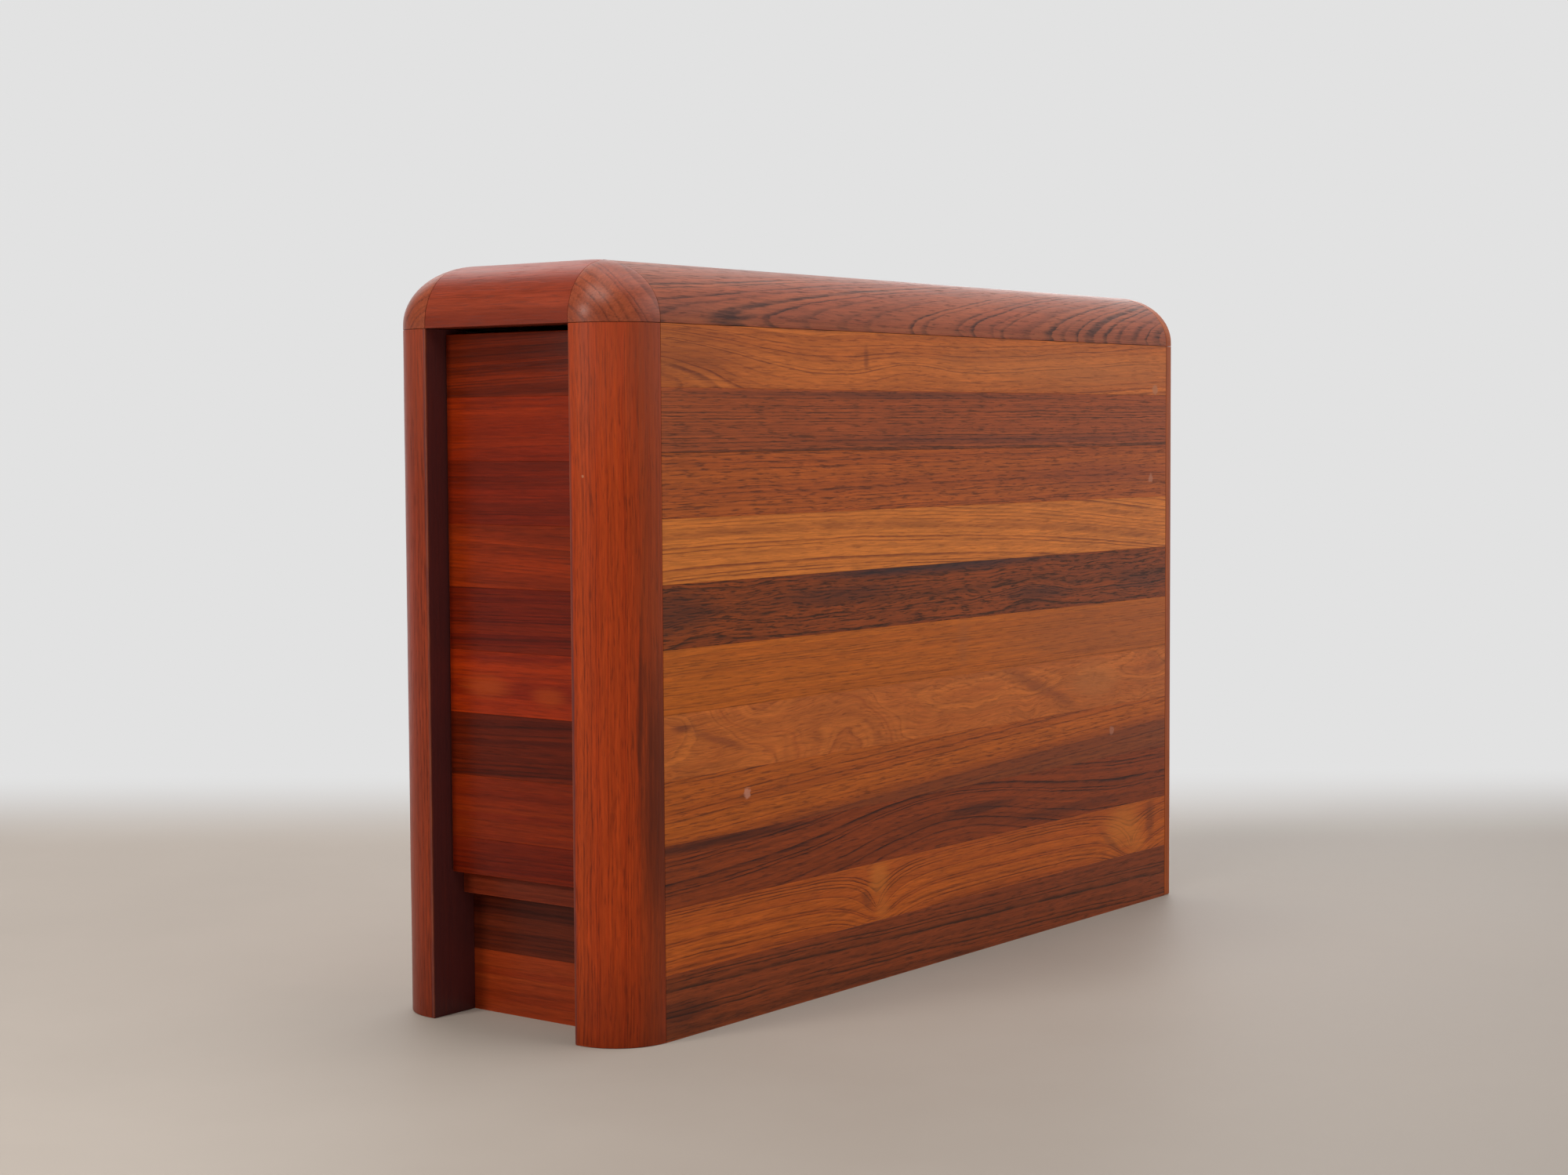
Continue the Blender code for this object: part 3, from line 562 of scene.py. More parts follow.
# ---- case ----
SIDE_STAVES = (
    # Top to bottom. Depth and across place the pith from the middle of the stave's face, in metres.
    # Knots, swells and stains are placed from there too; a zone starts at a radius.
    dict(base=(160, 75, 25), light=(195, 105, 40), dark=(105, 45, 20), bands=0.5, ring=4.4, taper=0.035,
         wander=14, curl=5, lines=0.75, pores=0.6, depth=-0.02, across=0.05,
         swells=((-0.37, -0.004, 150, 34, 40), (-0.04, -0.01, 60, 20, 8)),
         stains=((-0.3, 0.002, 90, 22, 0.4, (112, 48, 26)), (-0.094, 0.002, 4, 9, 0.5, (100, 46, 26)),
                 (0.2, 0, 230, 20, 0.3, (176, 108, 60)))),
    dict(base=(125, 55, 20), light=(160, 75, 30), dark=(70, 35, 15), bands=0.3, ring=2.4, taper=0.004,
         wander=6, curl=2, lines=0.75, pores=0.8, depth=-0.02, across=0.16,
         stains=((-0.05, 0.019, 300, 3, 0.45, (56, 28, 26)), (0.1, -0.015, 260, 4, 0.4, (66, 34, 30)))),
    dict(base=(145, 60, 20), light=(175, 85, 25), dark=(80, 35, 15), bands=0.3, ring=3.2, taper=0.01,
         wander=8, curl=3, lines=0.6, pores=0.85, depth=-0.03, across=0.13,
         stains=((0.25, 0.0, 120, 14, 0.3, (110, 46, 32)),)),
    dict(base=(180, 95, 30), light=(210, 120, 45), dark=(125, 60, 25), bands=0.35, ring=4.2, bow=-0.075,
         bow_middle=-0.2, wander=7, curl=2, lines=0.95, pores=0.5, depth=-0.04, across=0.1),
    dict(base=(110, 45, 10), light=(145, 65, 15), dark=(50, 25, 5), bands=0.4, ring=3.4, taper=0.006,
         wander=10, curl=9, lines=0.7, pores=1.0, depth=-0.04, across=0.06,
         swells=((-0.3, -0.008, 60, 16, 10), (0.13, -0.006, 60, 14, 8)),
         stains=((0.0, 0.022, 200, 7, 0.8, (50, 33, 36)), (-0.13, 0.006, 90, 8, 0.45, (44, 26, 24)),
                 (-0.33, 0.002, 60, 18, 0.5, (44, 26, 24)), (0.15, -0.008, 60, 7, 0.55, (40, 24, 22)),
                 (0.33, -0.004, 60, 9, 0.35, (44, 26, 24)))),
    dict(base=(165, 75, 15), light=(185, 95, 20), dark=(110, 55, 10), bands=0.3, ring=3.0, taper=0.003,
         wander=6, curl=2, lines=0.5, pores=0.6, depth=-0.03, across=0.15,
         stains=((0.26, 0.0, 210, 34, 0.35, (150, 80, 40)), (0.038, 0.004, 10, 26, 0.3, (158, 88, 44)))),
    dict(base=(155, 70, 25), light=(195, 105, 40), dark=(110, 50, 20), bands=0.5, ring=4.2, taper=0.012,
         wander=26, curl=18, lines=0.24, pores=0.45, depth=-0.05, across=0.01,
         swells=((-0.225, 0.022, 80, 30, 34), (-0.12, -0.014, 70, 32, 28)),
         stains=((-0.312, 0.014, 14, 4, 0.65, (92, 40, 26)),
                 (-0.27, 0.0, 40, 4, 0.45, (104, 46, 28), -0.33),
                 (0.155, 0.002, 64, 7, 0.4, (104, 48, 28), -0.36),
                 (0.24, 0.002, 46, 18, 0.5, (180, 106, 52)))),
    dict(base=(150, 65, 20), light=(180, 90, 25), dark=(90, 40, 15), bands=0.4, ring=4.0, taper=0.04,
         wander=6, curl=3, lines=0.8, pores=0.75, depth=-0.03, across=0.12,
         zones=((0.13, 0.01, 0.6, (92, 42, 28)),)),
    dict(base=(110, 45, 15), light=(140, 60, 20), dark=(45, 20, 15), bands=0.5, ring=4.8, taper=0.006,
         wander=8, curl=5, lines=1.0, pores=0.6, depth=-0.02, across=0.09,
         swells=((0.015, -0.004, 190, 60, 30),),
         stains=((-0.27, 0.019, 140, 4, 0.6, (42, 22, 20)), (0.06, 0.003, 60, 5, 0.6, (40, 22, 20)),
                 (0.2, -0.014, 110, 5, 0.4, (42, 22, 20)))),
    dict(base=(140, 55, 20), light=(185, 90, 25), dark=(85, 35, 15), bands=0.4, ring=3.4, taper=0.0,
         wander=5, curl=3, lines=0.95, pores=0.5, depth=-0.03, across=-0.12,
         knots=((-0.083, -0.01, 44, 40, 26), (0.305, -0.014, 50, 40, 30)),
         stains=((-0.08, 0.01, 15, 16, 0.5, (208, 120, 44)), (-0.075, -0.014, 11, 14, 0.4, (200, 112, 42)),
                 (0.29, 0.004, 36, 20, 0.5, (212, 124, 46)), (0.312, -0.012, 20, 14, 0.4, (208, 118, 42)),
                 (-0.096, -0.004, 8, 8, 0.45, (92, 44, 24), -0.6),
                 (0.268, -0.006, 22, 5, 0.4, (92, 44, 24), -0.6),
                 (0.338, 0.006, 9, 26, 0.45, (90, 44, 26)))),
    dict(base=(110, 50, 20), light=(135, 60, 25), dark=(60, 30, 15), bands=0.5, ring=5.0, taper=0.016,
         wander=9, curl=4, lines=1.0, pores=0.7, depth=-0.03, across=-0.07,
         stains=((-0.32, -0.006, 50, 10, 0.5, (38, 18, 16)),)),
)
SIDE_MARKS = (
    # small pale dents on the right side: place, radius, tint
    ((0.115, -0.2415, 0.1630), 5.0 * MM, (196, 132, 108)),
    ((0.115, 0.2705, 0.1595), 4.5 * MM, (170, 108, 84)),
    ((0.115, 0.3375, 0.3780), 4.5 * MM, (176, 112, 84)),
    ((0.115, 0.3450, 0.4560), 5.5 * MM, (176, 112, 76)),
)


def stave_wood(name, look, middle, seed, marks):
    """A side stave's wood, with its pith, knots and stains measured from the middle of its face."""
    look = dict(look)
    pith = Vector(middle) + Vector((copysign(look.pop("depth"), middle[0]), 0, look.pop("across")))
    for kind in ("knots", "swells", "stains"):
        look[kind] = [(spot[0], spot[1] + middle[2], *spot[2:]) for spot in look.get(kind, ())]
    return wood(name, "Y", pith=tuple(pith), seed=seed, marks=marks, box=CAD_BOX, **look)


def side_stave(side, low, high):
    """A stave of a side, rebated at its inner rear corner for the back panel."""
    inner = SIDE_LOW.x
    rear = SIDE_HIGH.y
    loops = []
    for z, inset in ((low, JOINT), (low + JOINT, 0), (high - JOINT, 0), (high, JOINT)):
        outer = HALF_W - inset
        outline = (
            (inner, SIDE_LOW.y), (outer - JOINT, SIDE_LOW.y), (outer, SIDE_LOW.y + JOINT),
            (outer, rear - JOINT), (outer - JOINT, rear), (inner + REBATE, rear),
            (inner + REBATE, rear - REBATE_DEPTH), (inner, rear - REBATE_DEPTH),
        )
        loops.append([(side * x, y, z) for x, y in outline])
    return loft(loops)


def add_sides():
    for word, side in SIDES:
        for index, look in enumerate(SIDE_STAVES):
            high = min(STAVES_FROM - index * STAVE, SIDE_HIGH.z)
            low = max(STAVES_FROM - (index + 1) * STAVE, SIDE_LOW.z)
            low = SIDE_LOW.z if index == len(SIDE_STAVES) - 1 else low
            middle = (side * HALF_W, 0.0, (low + high) / 2)
            seed = 3.1 + 1.7 * index + (0 if side > 0 else 40)
            name = f"side_stave_{word}_{index + 1:02d}"
            marks = [m for m in SIDE_MARKS if side > 0 and low <= m[0][2] < high]
            finish = stave_wood(name, look, middle, seed, marks)
            bm = side_stave(side, low, high)
            piece(name, bm, "case", finish, (f"side_panel_{word}",))


def post_outline(side, inset):
    """Plan of a front post, drawn in by inset."""
    inner = POST_LOW.x
    rear = POST_HIGH.y
    radius = POST_R - inset
    middle = (HALF_W - POST_R, FRONT + POST_R)
    outline = [(x, min(y, rear)) for x, y in arc(middle, (radius, radius), -90, 0, ARC_STEPS)]
    front_corner = arc((inner + ARRIS, FRONT + ARRIS), (ARRIS - inset, ARRIS - inset), 180, 270, 3)
    return [(side * x, y) for x, y in [(inner + inset, rear)] + front_corner + outline]


POST_COLOURS = {
    # base, light and dark
    "left": ((132, 44, 19), (146, 56, 27), (82, 28, 17)),
    "right": ((160, 50, 12), (172, 64, 19), (92, 29, 12)),
}


def add_posts():
    top = POST_HIGH.z
    count = 36
    stops = [(0, ARRIS), (0.3 * ARRIS, 0.3 * ARRIS), (ARRIS, 0)]
    stops += [(ARRIS + (top - 2 * ARRIS) * i / count, 0) for i in range(1, count)]
    stops += [(top - JOINT, 0), (top, JOINT)]
    for word, side in SIDES:
        loops = [[(x, y, z) for x, y in post_outline(side, inset)] for z, inset in stops]
        seam = side * (HALF_W + 1 * MM)
        hidden = side * POST_LOW.x
        finish = wood(
            f"post_{word}", "Z", *POST_COLOURS[word],
            pith=(side * 0.190, -0.250, 0), ring=2.6, taper=0.006, wander=12, curl=4, seed=5.0 + side,
            bands=0.6, lines=0.38, pores=0.60, box=CAD_BOX,
            stains=((0.25, seam, 900, 9, 0.55, (124, 56, 26)), (0.17, seam, 110, 8, 0.70, (74, 30, 18)),
                    # darker toward the foot of the post
                    (0.005, side * 0.09, 60, 60, 0.35, (100, 32, 14)),
                    # painted sheen: a paler, pinker tint toward the top of the post stands in for
                    # reflected light
                    (0.51, side * 0.09, 110, 60, 0.25, (164, 84, 62)),
                    (0.235, side * 0.1096, 70, 1.1, 0.60, (74, 30, 18), 0.012),
                    # painted shade: the post's inner face, down in the front recess, is tinted dark
                    (0.25, hidden, 900, 2.2, 0.85, (90, 48, 50))),
            # paler along the inner front edge: partly edge wear, partly a painted highlight
            edges=((hidden, FRONT, 1.6 * MM, 0.5, (178, 92, 54)),),
            marks=(((0.0800, FRONT + 0.5 * MM, 0.3910), 1.0 * MM, (186, 120, 88)),
                   ((-0.1020, FRONT + 12 * MM, 0.4650), 2.0 * MM, (190, 130, 100))),
        )
        shaped(f"front_post_{word}", hand_finished(loft(loops)), finish)


def cap_levels():
    """Heights of the cap's rings, the share of the rounding left at each, and how far each is drawn in."""
    levels = [(CAP_Z, 1.0, JOINT), (CAP_Z + JOINT, 1.0, 0.0)]
    return levels + [(ROUND_Z + CAP_RISE * sine, cosine, 0.0) for sine, cosine in quarter(ARC_STEPS)]


def cap_front(x, share):
    """The cap's front edge at x, on the ring where that share of the rounding is left."""
    x = abs(x)
    radius = POST_R * share
    middle = ARC_X + SIDE_RUN * share - radius
    if x <= middle:
        return ARC_Y - radius
    return ARC_Y - sqrt(max(0.0, radius ** 2 - (x - middle) ** 2))


def add_front_rail():
    half = FRONT_RAIL_HIGH.x
    rear = FRONT_RAIL_HIGH.y
    edge = 1 - JOINT / half
    steps = 30
    columns = [-1, -edge] + [-1 + 2 * i / steps for i in range(1, steps)] + [edge, 1]
    loops = []
    for z, share, inset in cap_levels():
        reach = min(half, ARC_X + SIDE_RUN * share)
        loop = []
        for c in columns:
            drawn = inset + (JOINT if abs(c) == 1 else 0)
            x = c * reach
            y = min(cap_front(x, share) + drawn * share, rear)
            loop.append((x, y, z - drawn * sqrt(1 - share ** 2)))
        loops.append(loop + [(reach, rear, z), (-reach, rear, z)])
    finish = wood(
        "front_rail", "X", (132, 47, 25), light=(146, 58, 34), dark=(92, 34, 24),
        pith=(0, -0.300, 0.40), ring=3.0, taper=0.01, wander=8, seed=2.2,
        bands=0.5, lines=0.30, pores=0.5, ior=POLISHED_IOR,
        stains=((0.0, 0.500, 300, 9, 0.55, (112, 34, 12)),),
    )
    shaped("top_front_rail", hand_finished(loft(loops)), finish)


def resampled(points, count):
    """Evenly spaced points along a polyline."""
    spans = [0.0]
    for a, b in zip(points, points[1:]):
        spans.append(spans[-1] + dist(a, b))
    found = []
    at = 0
    for i in range(count):
        goal = spans[-1] * i / (count - 1)
        while at < len(spans) - 2 and spans[at + 1] < goal:
            at += 1
        a, b = points[at], points[at + 1]
        t = (goal - spans[at]) / max(spans[at + 1] - spans[at], 1e-12)
        found.append((a[0] + (b[0] - a[0]) * t, a[1] + (b[1] - a[1]) * t))
    return found


def block_curve(share, inset):
    """The corner block's outer edge on a ring, from its inner end round to its rear end."""
    inner = BLOCK_LOW.x
    rear = BLOCK_HIGH.y
    radius = POST_R * share
    middle = ARC_X + SIDE_RUN * share - radius
    curve = [(inner, cap_front(inner, share))]
    curve += [(x, y) for x, y in arc((middle, ARC_Y), (radius, radius), -90, 0, 60) if x > inner]
    curve = [(max(x - inset, inner), min(y + inset, rear)) for x, y in curve]
    return curve + [(curve[-1][0], rear)]


BLOCK_POINTS = 28


def add_corner_blocks():
    inner = BLOCK_LOW.x
    rear = BLOCK_HIGH.y
    last_share = (inner - ARC_X) / SIDE_RUN
    apex = (inner, rear, ROUND_Z + CAP_RISE * sqrt(1 - last_share ** 2))
    for word, side in SIDES:
        loops = []
        for z, share, inset in cap_levels():
            if share > last_share + 0.004:  # the rings above are lost in the apex
                curve = resampled(block_curve(share, inset), BLOCK_POINTS) + [(inner, rear)]
                loops.append([(side * x, y, z) for x, y in curve])
        loops.append([(side * apex[0], apex[1], apex[2])] * len(loops[0]))
        finish = wood(
            f"corner_block_{word}", "Y", (132, 54, 32), light=(150, 72, 44), dark=(74, 32, 24),
            pith=(side * 0.030, 0, 0.450), ring=5.4, taper=0.42, wander=10, seed=8.4 + side,
            bands=0.5, lines=0.55, pores=0.3, ior=POLISHED_IOR, rough=0.33,
        )
        shaped(f"corner_block_{word}", hand_finished(loft(loops)), finish)


def add_side_rails():
    start, end = RAIL_LOW.y, RAIL_HIGH.y
    steps = 60
    for word, side in SIDES:
        columns = [start, start + JOINT]
        columns += [start + (end - start) * i / steps for i in range(1, steps)]
        columns += [end - JOINT, end]
        loops = []
        for z, share, inset in cap_levels():
            x = ARC_X + SIDE_RUN * share - inset
            loop = []
            for y in columns:
                drawn = JOINT if y in (start, end) else 0
                loop.append((side * (x - drawn * share), y, z - drawn * sqrt(1 - share ** 2)))
            loops.append(loop + [(side * RAIL_LOW.x, end, z), (side * RAIL_LOW.x, start, z)])
        finish = wood(
            f"top_side_rail_{word}", "Y", (134, 61, 37), light=(150, 77, 47), dark=(50, 25, 21),
            pith=(side * 0.103, 0, 0.499), ring=3.6, taper=-0.11, bow=-0.09, wander=5, curl=3,
            seed=11.3 + side, bands=0.5, lines=0.82, pores=0.65, box=CAD_BOX,
            stains=((-0.250, 0.5000, 30, 2.4, 0.75, (52, 26, 22), 0.12),),
            edges=((0.498, side * HALF_W, 2.0 * MM, 0.35, (168, 96, 62)),),
        )
        shaped(f"top_side_rail_{word}", hand_finished(loft(loops)), finish)


def add_lippings():
    """The solid strips round the rear edge, with a rounded arris behind."""
    look = dict(base=(150, 62, 12), light=(164, 78, 20), dark=(104, 44, 14), ring=3.0, wander=6,
                bands=0.7, lines=0.3, pores=0.4, box=CAD_BOX)
    for word, side in SIDES:
        r = REAR_ARRIS
        low, high = LIP_LOW, LIP_HIGH
        loops = []
        for z, inset in ((0, ARRIS), (ARRIS, 0), (high.z - JOINT, 0), (high.z, JOINT)):
            outline = [(low.x, low.y), (HALF_W - JOINT - inset, low.y), (HALF_W - inset, low.y + JOINT)]
            outline += arc((HALF_W - r, REAR - r), (r - inset, r - inset), 0, 90, 6)
            outline += arc((low.x + ARRIS, REAR - ARRIS), (ARRIS - inset * 0.9,) * 2, 90, 180, 3)
            loops.append([(side * x, y, z) for x, y in outline])
        finish = wood(f"rear_lipping_{word}", "Z", pith=(side * 0.2, 0.30, 0), seed=21.0 + side, **look)
        shaped(f"rear_lipping_{word}", loft(loops), finish)
    loops = []
    stops = [(ARCH_LOW.y, JOINT), (ARCH_LOW.y + JOINT, 0)]
    stops += [(REAR - REAR_ARRIS * (1 - sine), REAR_ARRIS * (1 - cosine)) for sine, cosine in quarter(6)]
    for y, inset in stops:
        right = [(HALF_W - inset, CAP_Z)]
        right += arc((ARC_X, ROUND_Z), (SIDE_RUN - inset, CAP_RISE - inset), 0, 90, ARC_STEPS)
        left = [(-x, z) for x, z in right][::-1]
        loops.append([(x, y, z) for x, z in right + left])
    finish = wood("rear_lipping_top", "X", pith=(0, 0.30, 0.46), seed=24.0, **look)
    shaped("rear_lipping_top", loft(loops), finish)


TOP_LOOKS = (1, 3, 7)  # side staves whose colours the top's staves share


def add_top_panel():
    edges = (TOP_LOW.x, -STAVE / 2, STAVE / 2, TOP_HIGH.x)
    for index, (low_x, high_x) in enumerate(zip(edges, edges[1:])):
        low = (low_x, TOP_LOW.y, TOP_LOW.z)
        high = (high_x, TOP_HIGH.y, TOP_HIGH.z)
        look = dict(SIDE_STAVES[TOP_LOOKS[index]])
        look.pop("depth")
        look.pop("across")
        name = f"top_stave_{index + 1}"
        pith = (low_x - 0.06, 0, HEIGHT - 0.03)
        finish = wood(name, "Y", pith=pith, seed=31.0 + 2.3 * index, **look)
        piece(name, bar(low, high, "Y", JOINT, 1), "case", finish, ("top_panel",))


FRONT_STAVES = (
    # top to bottom: base, light, dark, ring, taper, wander, lines
    ((90, 25, 5), (120, 35, 5), (60, 15, 5), 3.0, 0.02, 14, 0.6),
    ((120, 30, 5), (140, 40, 5), (85, 20, 5), 4.5, 0.01, 10, 0.3),
    ((100, 25, 5), (120, 30, 5), (70, 15, 5), 3.4, 0.01, 10, 0.4),
    ((120, 35, 5), (145, 45, 5), (85, 25, 5), 4.0, -0.04, 14, 0.4),
    ((95, 20, 5), (115, 30, 5), (60, 15, 5), 2.2, 0.01, 7, 0.6),
    ((125, 30, 5), (155, 45, 5), (90, 20, 5), 4.4, 0.01, 10, 0.25),
    ((80, 20, 5), (105, 30, 5), (50, 15, 5), 3.0, 0.02, 14, 0.6),
    ((115, 30, 5), (130, 40, 5), (80, 20, 5), 3.6, 0.01, 9, 0.35),
    ((95, 20, 5), (115, 30, 5), (65, 15, 5), 3.2, 0.01, 9, 0.45),
)
FRONT_STAINS = {5: ((-0.03, 0.24, 26, 10, 0.6, (176, 70, 18)), (0.03, 0.236, 18, 8, 0.5, (176, 70, 18)))}
GROOVE_HALF = 50 * MM
GROOVE_Y = FRONT + 23 * MM
GROOVE_W = 7.5 * MM
GROOVE_H = 10 * MM
GROOVE_ARRIS = 1.5 * MM


def face_stave(low, high, ease_low, ease_high):
    """A stave across the front, its ends rounded, drawn in at a glue joint or rounded at a free edge."""
    stops = []
    for z, ease, up in ((low, ease_low, 1), (high, ease_high, -1)):
        steps = 3 if ease > JOINT else 1
        part = [(z + up * ease * (1 - cosine), ease * (1 - sine)) for sine, cosine in quarter(steps)]
        stops += part if up > 0 else part[::-1]
    loops = []
    for z, inset in stops:
        r = ARRIS
        x = FACE_HIGH.x
        y = FACE_LOW.y
        outline = [(x, FACE_HIGH.y), (-x, FACE_HIGH.y)]
        outline += arc((-x + r, y + r), (r, r - inset * 0.99), 180, 270, 4)
        outline += arc((x - r, y + r), (r, r - inset * 0.99), 270, 360, 4)
        loops.append([(a, b, z) for a, b in outline])
    return loft(loops)


def add_front_panel():
    count = len(FRONT_STAVES)
    for index, (base, light, dark, ring, taper, wander, lines) in enumerate(FRONT_STAVES):
        high = FACE_HIGH.z - index * STAVE
        low = max(FACE_HIGH.z - (index + 1) * STAVE, FACE_LOW.z)
        name = f"front_stave_{index + 1}"
        bm = face_stave(low, high, ARRIS if index == count - 1 else JOINT, ARRIS if index == 0 else JOINT)
        finish = wood(
            name, "X", base, light, dark, pith=(0, FACE_LOW.y + 0.03, (low + high) / 2 + 0.09),
            ring=ring, taper=taper, wander=wander, seed=50 + 2.9 * index, bands=0.9, lines=lines,
            pores=0.35, stains=FRONT_STAINS.get(index, ()), box=(FACE_LOW, FACE_HIGH),
        )
        made = piece(name, bm, "rack", finish, ("front_panel",))
        if index == count - 1:
            cut_groove(made)


def cut_groove(stave):
    """The finger groove in the underside of the lowest stave."""
    low = (-GROOVE_HALF, GROOVE_Y, FACE_LOW.z - GROOVE_H)
    high = (GROOVE_HALF, GROOVE_Y + GROOVE_W, FACE_LOW.z + GROOVE_H)
    cutter = add_object("groove", mesh_from("groove", bar(low, high, "X", GROOVE_ARRIS, 3)))
    step = stave.modifiers.new("groove", "BOOLEAN")
    step.operation = "DIFFERENCE"
    step.solver = "EXACT"
    step.object = cutter
    graph = bpy.context.evaluated_depsgraph_get()
    cut = bpy.data.meshes.new_from_object(stave.evaluated_get(graph))
    stave.modifiers.remove(step)
    stave.data = cut
    bpy.data.objects.remove(cutter)


def add_plinth():
    looks = (
        dict(base=(134, 44, 16), light=(149, 56, 20), dark=(94, 32, 14), ring=4.0, wander=10, lines=0.3),
        dict(base=(76, 26, 14), light=(98, 36, 17), dark=(48, 18, 12), ring=3.0, wander=10, lines=0.5),
    )
    edges = (0.0, STAVE, PLINTH_HIGH.z)
    for index, (low_z, high_z) in enumerate(zip(edges, edges[1:])):
        low = (PLINTH_LOW.x, PLINTH_LOW.y, low_z)
        high = (PLINTH_HIGH.x, PLINTH_HIGH.y, high_z)
        name = f"plinth_stave_{index + 1}"
        finish = wood(
            name, "X", pith=(0, PLINTH_LOW.y + 0.04, low_z - 0.07), seed=71.0 + 3.0 * index,
            bands=0.9, pores=0.3, box=(PLINTH_LOW, PLINTH_HIGH), **looks[index],
        )
        piece(name, bar(low, high, "X", JOINT, 1), "case", finish, ("plinth_board",))
    finish = wood(
        "bottom_strip", "X", (116, 40, 20), light=(132, 50, 26), dark=(76, 28, 17),
        pith=(0, -0.30, 0.02), ring=3.0, wander=6, seed=77.0, bands=0.7, lines=0.3, pores=0.3,
        box=(STRIP_LOW, STRIP_HIGH),
    )
    piece("bottom_strip", bar(STRIP_LOW, STRIP_HIGH, "X", ARRIS), "case", finish,
          ("bottom_board_lipping",))


# ---- inside ----
def assign(names, material):
    for name in names:
        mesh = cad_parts[name].data
        mesh.materials.clear()
        mesh.materials.append(material)


def plain_metal(name, colour, rough, box=None):
    """Brushed metal, clouded with age and brighter where a box's edges are rubbed."""
    made, tree, shader = new_material(name)
    coords = object_place(tree)
    brushed = noise_at(tree, stretched(tree, coords, 900.0, 40.0), 1.0, 3.0, 0.6)
    cloud = noise_at(tree, coords, 70.0, 3.0, 0.6)
    finish = blend(tree, cloud, linear(tuple(v * 0.72 for v in colour)), linear(colour))
    if box:
        finish = blend(tree, box_edges(tree, box), finish, linear(lighter(colour, 1.2)))
    shader.inputs["Metallic"].default_value = 1.0
    rough = calc(tree, "MULTIPLY_ADD", brushed, 0.25, rough - 0.1)
    surface(tree, shader, finish, rough, brushed, 0.15, SMOOTH_RELIEF)
    return made


def moulded_nylon():
    made, tree, shader = new_material("nylon")
    coords = object_place(tree)
    cloud = noise_at(tree, coords, 300.0, 3.0, 0.6)
    shader.inputs["Subsurface Weight"].default_value = 0.05
    colour = blend(tree, cloud, linear(NYLON_DARK), linear(NYLON_LIGHT))
    rough = calc(tree, "MULTIPLY_ADD", cloud, 0.2, 0.4)
    surface(tree, shader, colour, rough, cloud, 0.1, SMOOTH_RELIEF)
    return made


INSIDE_WOODS = {
    "teak": dict(base=(128, 66, 40), light=(154, 88, 54), dark=(84, 44, 30), pith=(0.02, 0.40, 0.0),
                 ring=4.0, wander=12, bands=0.9, lines=0.45, pores=0.4),
    "beech": dict(base=(196, 158, 112), light=(212, 176, 130), dark=(160, 120, 80), pith=(0.05, 0.2, 0.2),
                  ring=3.0, wander=8, bands=0.7, lines=0.35, pores=0.4, rough=0.5),
    "plywood": dict(base=(176, 136, 92), light=(194, 154, 108), dark=(142, 102, 66), pith=(0, 0.38, 0.08),
                    taper=0.05, ring=6.0, wander=24, bands=0.8, lines=0.3, pores=0.35, rough=0.5),
}
INSIDE_BOARDS = (
    # wood, grain, nodes
    ("teak", "Y", ("bin_side_left", "bin_side_right", "gallery_side_left", "gallery_side_right",
                   "tray_side_left", "tray_side_right")),
    ("teak", "X", ("tray_front", "tray_back", "tray_divider_1", "tray_divider_2")),
    ("teak", "Z", ("rack_back",)),
    ("beech", "Y", ("reel_board", "tray_ledge_left", "tray_ledge_right", "runner_batten_left",
                    "runner_batten_right")),
    ("beech", "X", ("back_cleat", *(f"reel_peg_{i}" for i in range(1, 7)))),
    ("plywood", "Y", ("bottom_board", "rack_bottom", "rack_shelf", "tray_base")),
    ("plywood", "Z", ("back_panel",)),
)
STEEL = (176, 176, 172)
BRASS = (196, 160, 92)
NYLON_DARK = (212, 205, 188)
NYLON_LIGHT = (232, 228, 216)


def own_box(name):
    """A carried-over node's box in its own coordinates."""
    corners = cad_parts[name].bound_box
    return corners[0], corners[6]


def add_inside():
    seed = 90
    for kind, axis, names in INSIDE_BOARDS:
        for name in names:
            seed += 1.7
            look = dict(INSIDE_WOODS[kind])
            if kind == "teak":
                look["pith"] = (*look["pith"][:2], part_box(name)[0].z - 0.05)
            assign([name], wood(f"{name}_wood", axis, seed=seed, box=own_box(name), **look))
    for name in (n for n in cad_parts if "_runner_" in n and "batten" not in n):
        assign([name], plain_metal(f"{name}_steel", STEEL, 0.38, own_box(name)))
    assign([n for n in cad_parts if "roller_pin" in n], plain_metal("pin_steel", STEEL, 0.38))
    assign([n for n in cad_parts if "_roller_" in n and "pin" not in n], moulded_nylon())
    assign([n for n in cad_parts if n.startswith("back_screw")], plain_metal("brass", BRASS, 0.32))


